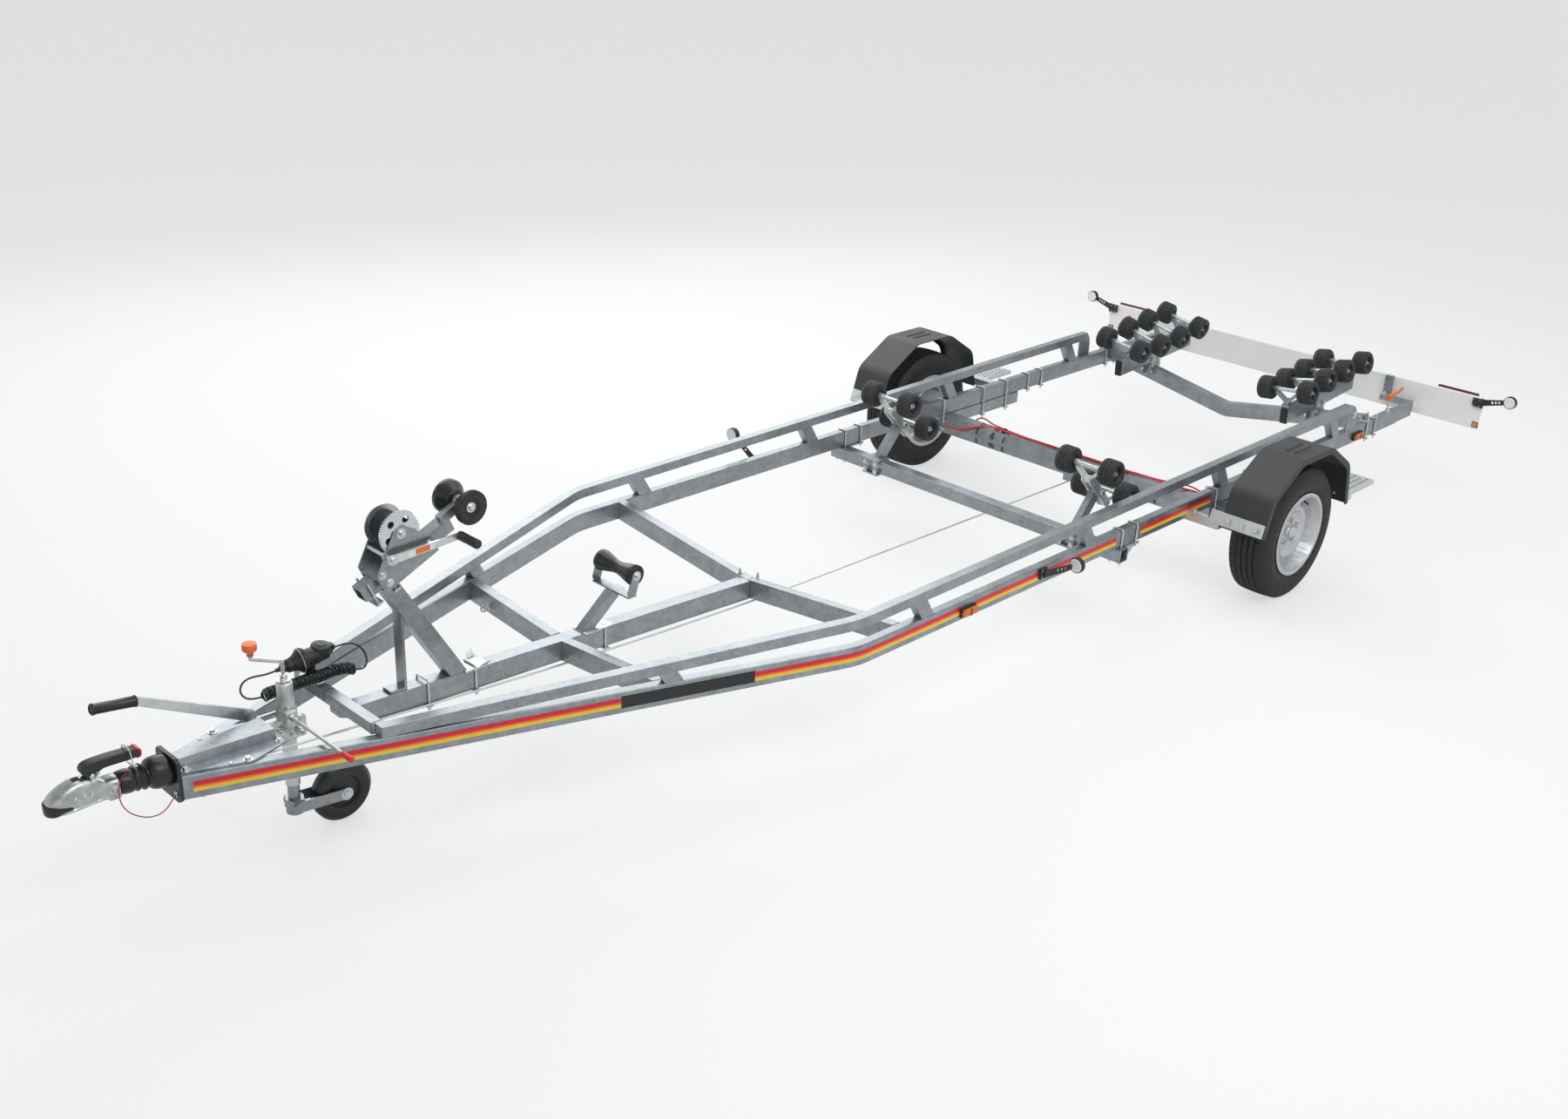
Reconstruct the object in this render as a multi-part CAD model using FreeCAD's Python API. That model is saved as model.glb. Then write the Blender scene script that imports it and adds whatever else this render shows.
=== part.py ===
import FreeCAD, Part
import math
import os
from FreeCAD import Vector

os.makedirs("parts", exist_ok=True)

# Boat trailer, standing on its jockey wheel
# Lengths are millimetres. +X is forward, +Y is left, +Z is up.
# Stations are distances ahead of the bend in the main rails, or behind it where the name says back.

# Main sizes
nose_reach = 2605.0
board_back = 4474.0
wheel_back = 2575.0
knee_half_width = 828.0
overrun = 4.0
running_fit = 0.05
clearance = 0.3
smallest_run = 0.01

# Main rails
rail_width = 40.0
rail_height = 80.0
rail_underside = 381.0
coupling_reach = 390.0
rail_nose_half = 69.6
rail_tail_back = 4242.0
rail_wall = 3.0
rail_pocket_length = 830.0
knee_radius = 300.0
tube_corner = 4.0

# Upper rails
upper_height = 40.0
upper_nose_back = 575.0
upper_tail_back = 3680.0
upper_lift_at_knee = 69.0
upper_lift_at_tail = 99.0
standoff_length = 70.0
standoff_lean = 60.0
standoff_first = 680.0
standoff_pitch = 1060.0
standoff_count = 5

# Cross members and centre beam
front_member_width = 40.0
front_member_height = 40.0
front_member_back = 30.0
member_width = 40.0
second_member = 735.0
third_member_back = 225.0
second_sag = 43.0
third_sag = 87.0
rocker_member_front_back = 1640.0
rocker_member_width = 60.0
rocker_member_height = 60.0
rocker_member_over = 22.0
rocker_member_wall = 4.0
rocker_member_pocket_length = 90.0
rear_member_front_back = 3918.0
rear_member_top = 345.0
rear_member_rise_share = 0.18
rear_member_bend = 60.0
member_corner = 5.0
beam_width = 60.0
beam_height = 80.0

rail_top = rail_underside + rail_height
rail_nose = nose_reach - coupling_reach
upper_nose = rail_nose - upper_nose_back
rocker_member_half = knee_half_width + rocker_member_over
v_slope = (knee_half_width - rail_nose_half) / rail_nose
v_angle = math.degrees(math.atan(v_slope))
half_turn = math.tan(math.radians(v_angle / 2))


# Shapes used by many pieces
def outline(corners):
    # Closed outline through points, each with its own corner radius.
    count = len(corners)
    starts, middles, ends = [], [], []
    for i in range(count):
        point, radius = corners[i]
        if radius <= 0:
            starts.append(point)
            middles.append(None)
            ends.append(point)
            continue
        back = (corners[i - 1][0] - point).normalize()
        ahead = (corners[(i + 1) % count][0] - point).normalize()
        half = back.getAngle(ahead) / 2
        inward = (back + ahead).normalize()
        starts.append(point + back * (radius / math.tan(half)))
        ends.append(point + ahead * (radius / math.tan(half)))
        middles.append(point + inward * (radius / math.sin(half) - radius))
    edges = []
    for i in range(count):
        if middles[i] is not None:
            edges.append(Part.Arc(starts[i], middles[i], ends[i]).toShape())
        following = starts[(i + 1) % count]
        if (following - ends[i]).Length > smallest_run:
            edges.append(Part.LineSegment(ends[i], following).toShape())
    return Part.Wire(edges)


def radius_of(point):
    return point[2] if len(point) > 2 else 0


def prism(corners, sweep):
    return Part.Face(outline(corners)).extrude(sweep)


def plan(points, z0, z1):
    # Outline seen from above, filled from z0 up to z1.
    return prism([(Vector(p[0], p[1], z0), radius_of(p)) for p in points], Vector(0, 0, z1 - z0))


def side(points, y0, y1):
    # Outline seen from the side, filled from y0 to y1.
    return prism([(Vector(p[0], y0, p[1]), radius_of(p)) for p in points], Vector(0, y1 - y0, 0))


def front(points, x0, x1):
    # Outline seen from the front, filled from x0 to x1.
    return prism([(Vector(x0, p[0], p[1]), radius_of(p)) for p in points], Vector(x1 - x0, 0, 0))


def box(x0, x1, y0, y1, z0, z1):
    return Part.makeBox(x1 - x0, y1 - y0, z1 - z0, Vector(x0, y0, z0))


def rod(start, end, radius):
    return Part.makeCylinder(radius, (end - start).Length, start, end - start)


def ring(start, end, outer, inner):
    along = (end - start).normalize() * overrun
    return rod(start, end, outer).cut(rod(start - along, end + along, inner))


def lathe(points, base, axis):
    # Profile of radius and height pairs, turned about an axis that starts at base.
    corners = [(Vector(p[0], 0, p[1]), radius_of(p)) for p in points]
    body = Part.Face(outline(corners)).revolve(Vector(0, 0, 0), Vector(0, 0, 1), 360)
    body.Placement = FreeCAD.Placement(base, FreeCAD.Rotation(Vector(0, 0, 1), axis))
    return body


def moved(shape, x, y, z):
    copy = shape.copy()
    copy.translate(Vector(x, y, z))
    return copy


def turned(shape, centre, axis, angle):
    copy = shape.copy()
    copy.rotate(centre, axis, angle)
    return copy


def fused(first, *others):
    return first.fuse(list(others)).removeSplitter()


def other_side(shape):
    return shape.mirror(Vector(0, 0, 0), Vector(0, 1, 0))


def lowest(shape):
    # The lowest of the solids that a cut left.
    return min(shape.Solids, key=lambda solid: solid.BoundBox.ZMin)


def both_sides(shape):
    return [shape, other_side(shape)]


def route(points):
    # Straight runs joined by tangent arcs, as large as the runs allow.
    arc_share = 0.45
    edges, radii = [], []
    last = points[0]
    for before, here, after in zip(points, points[1:], points[2:]):
        run_in, run_out = here - before, after - here
        reach = arc_share * min(run_in.Length, run_out.Length)
        turn = run_in.getAngle(run_out)
        radius = reach / math.tan(turn / 2)
        into, out = Vector(run_in).normalize(), Vector(run_out).normalize()
        start, end = here - into * reach, here + out * reach
        inward = (out - into).normalize()
        middle = here + inward * (radius / math.cos(turn / 2) - radius)
        edges.append(Part.LineSegment(last, start).toShape())
        edges.append(Part.Arc(start, middle, end).toShape())
        radii.append(radius)
        last = end
    edges.append(Part.LineSegment(last, points[-1]).toShape())
    return Part.Wire(edges), radii


def cable(name, points, radius):
    wire, radii = route(points)
    circle = Part.Wire([Part.Circle(points[0], points[1] - points[0], radius).toShape()])
    body = wire.makePipeShell([circle], True, False)
    expected = math.pi * radius ** 2 * wire.Length
    print(name, "length", round(wire.Length), "bend radii", [round(r) for r in radii],
          "volume over section times length", round(body.Volume / expected, 4))
    return body


def soften(shape, radius, lengthwise):
    # Rounds the long edges of a bent tube: those on its flat top and bottom faces.
    edges = [e for e in shape.Edges if lengthwise(e)]
    return shape.makeFillet(radius, edges)


# Positions shared by many pieces
def rail_face(x, inset):
    # Half width at station x of the face that lies inset from a rail's outer face.
    if x > -inset * half_turn:
        return knee_half_width - inset - v_slope * (x + inset * half_turn)
    return knee_half_width - inset


def rail_plan(nose, tail_back, z0, z1):
    inner = rail_width
    return plan([(-tail_back, knee_half_width),
                 (0, knee_half_width, knee_radius + rail_width),
                 (nose, rail_face(nose, 0)),
                 (nose, rail_face(nose, inner)),
                 (-inner * half_turn, knee_half_width - inner, knee_radius),
                 (-tail_back, knee_half_width - inner)], z0, z1)


def upper_underside(x):
    # Height of the underside of an upper rail at station x.
    if x > 0:
        return rail_top + upper_lift_at_knee * (upper_nose - x) / upper_nose
    share = -x / upper_tail_back
    return rail_top + upper_lift_at_knee + (upper_lift_at_tail - upper_lift_at_knee) * share


beam_nose = upper_nose + front_member_width - front_member_back
beam_level = upper_nose - front_member_back
beam_fall = third_sag / (beam_level + third_member_back)


def beam_top(x):
    # Height of the top of the centre beam at station x.
    return rail_top - beam_fall * max(beam_level - x, 0)


nodes = {}


# Main rails: box tubes, straight behind the bend and running in to the coupling ahead of it
def long_edge(edge):
    flat = edge.BoundBox.ZLength < tube_corner
    across = edge.BoundBox.XLength < tube_corner
    return flat and not across


main_rail = rail_plan(rail_nose, rail_tail_back, rail_underside, rail_top)
main_rail = soften(main_rail, tube_corner, long_edge)
main_rail = main_rail.cut(box(-rail_tail_back - overrun, -rail_tail_back + rail_pocket_length,
                              knee_half_width - rail_width + rail_wall, knee_half_width - rail_wall,
                              rail_underside + rail_wall, rail_top - rail_wall))
nodes["main_rail_left"] = main_rail
nodes["main_rail_right"] = other_side(main_rail)

# Upper rails: square tubes over the main rails, with leaning stand-offs between
band = side([(upper_nose, rail_top), (0, upper_underside(0)),
             (-upper_tail_back, upper_underside(-upper_tail_back)),
             (-upper_tail_back, upper_underside(-upper_tail_back) + upper_height),
             (0, upper_underside(0) + upper_height), (upper_nose, rail_top + upper_height)],
            0, knee_half_width + overrun)
upper_plan = rail_plan(upper_nose, upper_tail_back, rail_top - overrun,
                       rail_top + upper_lift_at_tail + upper_height + overrun)
upper_rail = band.common(upper_plan)
standoffs = []
for i in range(standoff_count):
    station = standoff_first - i * standoff_pitch
    top = upper_underside(station) + upper_height / 2
    lean = standoff_lean * (top - rail_top) / upper_lift_at_tail
    block = side([(-standoff_length / 2, rail_top), (standoff_length / 2, rail_top),
                  (standoff_length / 2 + lean, top), (-standoff_length / 2 + lean, top)],
                 -rail_width / 2, rail_width / 2)
    middle = (rail_face(station, 0) + rail_face(station, rail_width)) / 2
    if station > 0:
        block.rotate(Vector(0, 0, 0), Vector(0, 0, 1), -v_angle)
    standoffs.append(moved(block, station, middle, 0).cut(upper_rail))
nodes["upper_rail_left"] = upper_rail
nodes["upper_rail_right"] = other_side(upper_rail)
nodes["rail_standoffs"] = [half for block in standoffs for half in both_sides(lowest(block))]

# Centre beam: runs back from the front member down to the third member
third_front = -third_member_back
centre_beam = side([(beam_nose, rail_top), (beam_level, rail_top), (third_front, beam_top(third_front)),
                    (third_front, beam_top(third_front) - beam_height),
                    (beam_level, rail_top - beam_height),
                    (beam_nose, rail_top - beam_height)], -beam_width / 2, beam_width / 2)
nodes["centre_beam"] = centre_beam


# Cross members between the rails
def between_rails(x0, x1, inset, z0, z1):
    return plan([(x0, rail_face(x0, inset)), (x1, rail_face(x1, inset)),
                 (x1, -rail_face(x1, inset)), (x0, -rail_face(x0, inset))], z0, z1)


def sagging_member(front_x, sag):
    # Cross member with its middle lower than its ends, in two straight arms.
    far = knee_half_width
    rise = sag * far / rail_face(front_x, rail_width)
    low = rail_top - sag
    bar = front([(-far, low + rise), (0, low, rail_height), (far, low + rise),
                 (far, low + rise - rail_height), (0, low - rail_height, rail_height),
                 (-far, low + rise - rail_height)], front_x - member_width, front_x)
    return bar.common(between_rails(front_x - member_width, front_x, rail_width,
                                    low - rail_height - overrun, low + rise + overrun))


front_member = between_rails(beam_level, beam_level + front_member_width, rail_width,
                             rail_top, rail_top + front_member_height)
second = sagging_member(second_member, second_sag)
second = second.cut(box(second_member - 2 * member_width, second_member + member_width, -beam_width / 2,
                        beam_width / 2, rail_underside - beam_height, rail_top))
third = sagging_member(third_front, third_sag)
rocker_member_top = rail_underside
rocker_x1 = -rocker_member_front_back
rocker_x0 = rocker_x1 - rocker_member_width
rocker_member = side([(rocker_x0, rocker_member_top - rocker_member_height, member_corner),
                      (rocker_x1, rocker_member_top - rocker_member_height, member_corner),
                      (rocker_x1, rocker_member_top, member_corner),
                      (rocker_x0, rocker_member_top, member_corner)], -rocker_member_half,
                     rocker_member_half)
for y0, y1 in ((-rocker_member_half - overrun, -rocker_member_half + rocker_member_pocket_length),
               (rocker_member_half - rocker_member_pocket_length, rocker_member_half + overrun)):
    rocker_member = rocker_member.cut(box(rocker_x0 + rocker_member_wall, rocker_x1 - rocker_member_wall,
                                          y0, y1,
                                          rocker_member_top - rocker_member_height + rocker_member_wall,
                                          rocker_member_top - rocker_member_wall))
rear_x1 = -rear_member_front_back
rear_x0 = rear_x1 - member_width
rear_end = knee_half_width - rail_width
rear_rise = rear_member_rise_share * rear_end
rear_member = front([(-rear_end, rear_member_top + rear_rise), (0, rear_member_top, rear_member_bend),
                     (rear_end, rear_member_top + rear_rise),
                     (rear_end, rear_member_top + rear_rise - rail_height),
                     (0, rear_member_top - rail_height, rear_member_bend + rail_height),
                     (-rear_end, rear_member_top + rear_rise - rail_height)], rear_x0, rear_x1)
nodes["cross_members"] = [front_member] + second.Solids + [third, rocker_member, rear_member]

# Axle: six-sided tube hung on channels under the rails, with trailing arms and stub axles
axle_flats = 100.0
axle_lead = 105.0
axle_over = 107.0
channel_front_back = 2380.0
channel_tail_back = 3060.0
channel_height = 60.0
channel_width = 50.0
arm_width = 40.0
arm_hub_radius = 46.0
arm_tip_radius = 34.0
wheel_radius = 314.5
backing_radius = 115.0
backing_thickness = 6.0
stub_length = 35.0
stub_radius = 20.0
stub_end_gap = 2.0
tyre_inset = 172.0
disc_offset = 128.0
abutment_width = 70.0
abutment_thickness = 8.0
abutment_drop = 42.0
axle_half = knee_half_width + axle_over
backing_inner = axle_half + arm_width + stub_length
tyre_inner_y = knee_half_width + tyre_inset
disc_inner_y = tyre_inner_y + disc_offset
stub_end = disc_inner_y - stub_end_gap
axle_x = -wheel_back + axle_lead
axle_z = rail_underside - axle_flats / 2
hex_points = []
for i in range(6):
    angle = math.radians(60 * i)
    reach = axle_flats / 2 / math.cos(math.radians(30))
    hex_points.append((axle_x + reach * math.cos(angle), axle_z + reach * math.sin(angle)))
axle_tube = side(hex_points, -axle_half, axle_half)
channel_mid = knee_half_width - rail_width / 2
channel = box(-channel_tail_back, -channel_front_back, channel_mid - channel_width / 2,
              channel_mid + channel_width / 2, rail_underside - channel_height, rail_underside)
wheel_x = -wheel_back


def arm_outline(x0, z0, r0, x1, z1, r1, y0, y1):
    # Arm with a round boss at each end.
    along = Vector(x1 - x0, 0, z1 - z0)
    across = Vector(-along.z, 0, along.x).normalize()
    a, b = Vector(x0, 0, z0), Vector(x1, 0, z1)
    web = side([((a + across * r0).x, (a + across * r0).z), ((b + across * r1).x, (b + across * r1).z),
                ((b - across * r1).x, (b - across * r1).z), ((a - across * r0).x, (a - across * r0).z)], y0,
               y1)
    return fused(web, rod(Vector(x0, y0, z0), Vector(x0, y1, z0), r0),
                 rod(Vector(x1, y0, z1), Vector(x1, y1, z1), r1))


swing_arm = arm_outline(axle_x, axle_z, arm_hub_radius, wheel_x, wheel_radius, arm_tip_radius,
                        axle_half, axle_half + arm_width)
stub = rod(Vector(wheel_x, axle_half + arm_width, wheel_radius),
           Vector(wheel_x, backing_inner, wheel_radius),
           arm_tip_radius)
backing = rod(Vector(wheel_x, backing_inner, wheel_radius),
              Vector(wheel_x, backing_inner + backing_thickness, wheel_radius), backing_radius)
spindle = rod(Vector(wheel_x, backing_inner, wheel_radius), Vector(wheel_x, stub_end, wheel_radius),
              stub_radius)
abutment = box(axle_x - abutment_thickness / 2, axle_x + abutment_thickness / 2, -abutment_width / 2,
               abutment_width / 2, axle_z - axle_flats / 2 - abutment_drop, axle_z)
side_set = [channel, swing_arm, stub, backing, spindle]
nodes["axle"] = fused(axle_tube, abutment, *(side_set + [other_side(s) for s in side_set]))

# Wheels: steel rim with brake drum and hub, and tyre
tyre_width = 195.0
rim_radius = 178.0
rim_flange = 195.5
rim_flange_thickness = 9.0
rim_inset = 3.0
rim_wall = 5.0
rim_well = 22.0
rim_well_length = 60.0
disc_thickness = 6.0
disc_dish = 24.0
disc_dish_radius = 110.0
disc_hub_radius = 80.0
drum_radius = 108.0
drum_length = 78.0
drum_gap = 3.0
hub_radius = 62.0
hub_cap_radius = 27.0
hub_cap_length = 26.0
tread_half_share = 0.33
shoulder_radius = 22.0
bead_gap = 0.3
vent_count = 12
vent_radius = 10.0
vent_circle = 134.0
tyre_mid = tyre_inner_y + tyre_width / 2
rim_y0 = tyre_inner_y + rim_inset
rim_y1 = tyre_inner_y + tyre_width
well_y0 = tyre_inner_y + rim_inset + rim_flange_thickness * 4
well_y1 = well_y0 + rim_well_length
inner_wall = rim_radius - rim_wall
barrel = lathe([(inner_wall, rim_y0), (rim_flange, rim_y0), (rim_flange, rim_y0 + rim_flange_thickness),
                (rim_radius, rim_y0 + rim_flange_thickness), (rim_radius, well_y0),
                (rim_radius - rim_well, well_y0 + rim_well), (rim_radius - rim_well, well_y1 - rim_well),
                (rim_radius, well_y1), (rim_radius, rim_y1 - rim_flange_thickness),
                (rim_flange, rim_y1 - rim_flange_thickness), (rim_flange, rim_y1), (inner_wall, rim_y1),
                (inner_wall, well_y1), (inner_wall - rim_well, well_y1 - rim_well),
                (inner_wall - rim_well, well_y0 + rim_well), (inner_wall, well_y0)],
               Vector(wheel_x, 0, wheel_radius), Vector(0, 1, 0))
spindle_bore = stub_radius + running_fit
hub_end = disc_inner_y + disc_thickness
drum_y0 = backing_inner + backing_thickness + drum_gap
disc = lathe([(spindle_bore, disc_inner_y), (disc_hub_radius, disc_inner_y),
              (disc_dish_radius, disc_inner_y + disc_dish), (inner_wall + rim_wall / 2, disc_inner_y),
              (inner_wall + rim_wall / 2, disc_inner_y + disc_thickness),
              (disc_dish_radius, disc_inner_y + disc_dish + disc_thickness),
              (disc_hub_radius, disc_inner_y + disc_thickness),
              (spindle_bore, disc_inner_y + disc_thickness)],
             Vector(wheel_x, 0, wheel_radius), Vector(0, 1, 0))
drum = lathe([(spindle_bore, drum_y0), (drum_radius, drum_y0), (drum_radius, drum_y0 + drum_length),
              (hub_radius, drum_y0 + drum_length), (hub_radius, disc_inner_y),
              (spindle_bore, disc_inner_y)],
             Vector(wheel_x, 0, wheel_radius), Vector(0, 1, 0))
hub_cap = lathe([(0, hub_end), (hub_cap_radius, hub_end),
                 (hub_cap_radius, hub_end + hub_cap_length, rim_wall),
                 (0, hub_end + hub_cap_length)], Vector(wheel_x, 0, wheel_radius), Vector(0, 1, 0))
rim = fused(barrel, disc, drum, hub_cap)
vents = []
for i in range(vent_count):
    angle = 2 * math.pi * i / vent_count
    x = wheel_x + vent_circle * math.cos(angle)
    z = wheel_radius + vent_circle * math.sin(angle)
    vents.append(rod(Vector(x, disc_inner_y - overrun, z),
                     Vector(x, disc_inner_y + disc_dish + disc_thickness + overrun, z), vent_radius))
rim = rim.cut(vents)
bead = rim_radius + bead_gap
bulge = rim_flange + rim_flange_thickness * 2
crown = wheel_radius - shoulder_radius
half = tyre_width / 2
grip_y0 = rim_y0 + rim_flange_thickness + bead_gap
grip_y1 = rim_y1 - rim_flange_thickness - bead_gap
tyre = lathe([(bead, grip_y0), (rim_flange + bead_gap, grip_y0), (bulge, tyre_inner_y),
              (crown, tyre_inner_y),
              (wheel_radius, tyre_mid - 2 * tread_half_share * half),
              (wheel_radius, tyre_mid + 2 * tread_half_share * half),
              (crown, tyre_inner_y + tyre_width), (bulge, tyre_inner_y + tyre_width),
              (rim_flange + bead_gap, grip_y1), (bead, grip_y1)],
             Vector(wheel_x, 0, wheel_radius), Vector(0, 1, 0))
nodes["rim_left"] = rim
nodes["tyre_left"] = tyre
nodes["rim_right"] = other_side(rim)
nodes["tyre_right"] = other_side(tyre)

# Fenders: arched plastic shells with a lip along the outer edge
fender_inset = 5.0
fender_width = 212.0
fender_inner = tyre_inner_y + fender_inset
fender_outer = fender_inner + fender_width
fender_wall = 5.0
fender_lip = 28.0
fender_crown_gap = 79.0
fender_top = 2 * wheel_radius + fender_crown_gap
fender_front_gap = 86.5
fender_front_foot = wheel_radius + fender_front_gap
fender_front_foot_z = 402.0
fender_hip_gap = 30.5
fender_hip_rise = 265.5
fender_front_hip = wheel_radius + fender_hip_gap
fender_front_hip_z = wheel_radius + fender_hip_rise
fender_front_brow = 128.0
fender_rear_brow = 140.0
fender_rear_hip_gap = 27.5
fender_rear_hip_rise = 267.5
fender_rear_hip = wheel_radius + fender_rear_hip_gap
fender_rear_hip_z = wheel_radius + fender_rear_hip_rise
fender_rear_gap = 70.5
fender_rear_foot = wheel_radius + fender_rear_gap
fender_rear_foot_z = 375.0
fender_bend = 90.0
rib_height = 5.0
rib_width = 14.0
arch = [(fender_front_foot, fender_front_foot_z), (fender_front_hip, fender_front_hip_z, fender_bend),
        (fender_front_brow, fender_top, fender_bend), (-fender_rear_brow, fender_top, fender_bend),
        (-fender_rear_hip, fender_rear_hip_z, fender_bend), (-fender_rear_foot, fender_rear_foot_z)]


def arch_prism(inset, y0, y1, drop):
    # The arch moved in by inset towards the wheel centre, its feet carried down by drop.
    mean = fender_front_foot
    share = 1 - inset / mean
    points = []
    for p in arch:
        x = wheel_x + p[0] * share
        z = wheel_radius + (p[1] - wheel_radius) * share
        points.append((x, z, radius_of(p) * share))
    first, last = points[0], points[-1]
    if drop > 0:
        points = [(first[0], first[1] - drop)] + points + [(last[0], last[1] - drop)]
    return side(points, y0, y1)


fender = arch_prism(0, fender_inner, fender_outer, 0)
fender = fender.cut(arch_prism(fender_wall, fender_inner - overrun, fender_outer - fender_wall, fender_lip))
fender = fender.cut(arch_prism(fender_lip, fender_inner - overrun, fender_outer + overrun, fender_lip))
rib_shares = (0.42, 0.62)
rib_ys = [fender_inner + (fender_outer - fender_inner) * share for share in rib_shares]
ribs = []
for y in rib_ys:
    ribs.append(front([(y - rib_width / 2, fender_top), (y + rib_width / 2, fender_top),
                       (y + rib_width / 4, fender_top + rib_height),
                       (y - rib_width / 4, fender_top + rib_height)],
                      wheel_x - fender_rear_brow / 2, wheel_x + fender_front_brow / 2))
fender = fused(fender, *ribs)
nodes["fenders"] = both_sides(fender)

# Fender mounts: straps and outriggers from the rails, and the step behind each wheel
strap_z0 = 408.0
strap_z1 = 465.0
strap_reach = 56.0
strap_inner = fender_inner - strap_reach
strap_end_gap = 4.0
strap_outer = fender_outer - strap_end_gap
strap_thickness = 5.0
outrigger_size = 40.0
outrigger_z0 = 384.0
step_tail_back = 3290.0
step_inset = 5.0
step_width = 170.0
step_inner = fender_inner + step_inset
step_outer = step_inner + step_width
step_z = 400.0
step_wall = 4.0
step_flange = 22.0


def foot_line(z, foot, foot_z, hip, hip_z):
    return foot + (hip - foot) * (z - foot_z) / (hip_z - foot_z)


def front_facet(z):
    return wheel_x + foot_line(z, fender_front_foot, fender_front_foot_z, fender_front_hip,
                               fender_front_hip_z)


def rear_facet(z):
    return wheel_x - foot_line(z, fender_rear_foot, fender_rear_foot_z, fender_rear_hip, fender_rear_hip_z)


strap = side([(front_facet(strap_z0), strap_z0), (front_facet(strap_z0) + strap_thickness, strap_z0),
              (front_facet(strap_z1) + strap_thickness, strap_z1), (front_facet(strap_z1), strap_z1)],
             strap_inner, strap_outer)
front_arm = side([(front_facet(outrigger_z0), outrigger_z0),
                  (front_facet(outrigger_z0) - outrigger_size, outrigger_z0),
                  (front_facet(outrigger_z0) - outrigger_size, outrigger_z0 + outrigger_size),
                  (front_facet(outrigger_z0 + outrigger_size), outrigger_z0 + outrigger_size)],
                 knee_half_width, fender_inner - strap_thickness)
rear_arm_back = rear_facet(outrigger_z0) - outrigger_size
rear_arm = side([(rear_facet(outrigger_z0), outrigger_z0), (rear_arm_back, outrigger_z0),
                 (rear_arm_back, outrigger_z0 + outrigger_size),
                 (rear_facet(outrigger_z0 + outrigger_size), outrigger_z0 + outrigger_size)],
                knee_half_width, strap_outer)
step = box(-step_tail_back, rear_arm_back, step_inner, step_outer, step_z - step_flange, step_z)
step = step.cut(box(-step_tail_back + step_wall, rear_arm_back, step_inner + step_wall,
                    step_outer - step_wall,
                    step_z - step_flange - overrun, step_z - step_wall))
rear_mount = fused(rear_arm, step)
nodes["fender_mounts"] = both_sides(fused(strap, front_arm)) + both_sides(rear_mount)

# Coupling housing: pressed cover over the rail noses, with the bore of the draw tube
draw_z = 452.0
draw_radius = 25.0
housing_length = 345.0
cover_thickness = 6.0
cover_nose_half = 52.0
cover_wide_back = 205.0
cover_wide_half = 128.0
cover_tail_half = 88.0
ridge_nose_gap = 15.0
ridge_tail_gap = 20.0
ridge_nose_half = 32.0
ridge_tail_half = 56.0
ridge_height = 39.0
ridge_taper = 8.0
barrel_length = 265.0
barrel_half = 40.0
barrel_drop = 56.0
overrun_travel = 90.0
housing_tail = rail_nose - housing_length
cover_wide_station = rail_nose - cover_wide_back
ridge_nose = rail_nose - ridge_nose_gap
ridge_tail = housing_tail + ridge_tail_gap
barrel_tail = rail_nose - barrel_length
cover = plan([(rail_nose, -cover_nose_half), (rail_nose, cover_nose_half),
              (cover_wide_station, cover_wide_half),
              (housing_tail, cover_tail_half), (housing_tail, -cover_tail_half),
              (cover_wide_station, -cover_wide_half)], rail_top, rail_top + cover_thickness)


def ridge_section(x, half_width):
    return outline([(Vector(x, -half_width, rail_top), 0), (Vector(x, half_width, rail_top), 0),
                    (Vector(x, half_width - ridge_taper, rail_top + ridge_height), 0),
                    (Vector(x, -half_width + ridge_taper, rail_top + ridge_height), 0)])


ridge = Part.makeLoft([ridge_section(ridge_tail, ridge_tail_half),
                       ridge_section(ridge_nose, ridge_nose_half)],
                      True, True)
barrel_wide = rail_nose - (barrel_half - rail_face(rail_nose, rail_width)) / v_slope
barrel_block = plan([(rail_nose, -rail_face(rail_nose, rail_width)),
                     (rail_nose, rail_face(rail_nose, rail_width)),
                     (barrel_wide, barrel_half), (barrel_tail, barrel_half), (barrel_tail, -barrel_half),
                     (barrel_wide, -barrel_half)], rail_top - barrel_drop, rail_top)
lever_pivot_ahead = 29.0
lever_pivot_x = housing_tail + lever_pivot_ahead
lever_pivot_z = 492.0
lever_y0 = -100.0
lever_thickness = 12.0
lever_gap = 0.5
lug_thickness = 6.0
lug_radius = 17.0
pin_radius = 6.0
lug_y1 = lever_y0 + lever_thickness + lever_gap
pivot_lug = fused(box(lever_pivot_x - lug_radius, lever_pivot_x + lug_radius, lug_y1,
                      lug_y1 + lug_thickness,
                      rail_top, lever_pivot_z),
                  rod(Vector(lever_pivot_x, lug_y1, lever_pivot_z),
                      Vector(lever_pivot_x, lug_y1 + lug_thickness, lever_pivot_z), lug_radius),
                  rod(Vector(lever_pivot_x, lever_y0 - lug_thickness, lever_pivot_z),
                      Vector(lever_pivot_x, lug_y1 + lug_thickness, lever_pivot_z), pin_radius))
housing = fused(cover, ridge, barrel_block, pivot_lug)
housing = housing.cut(rod(Vector(barrel_tail - overrun, 0, draw_z), Vector(rail_nose + overrun, 0, draw_z),
                          draw_radius + running_fit))
nodes["coupling_housing"] = housing

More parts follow.
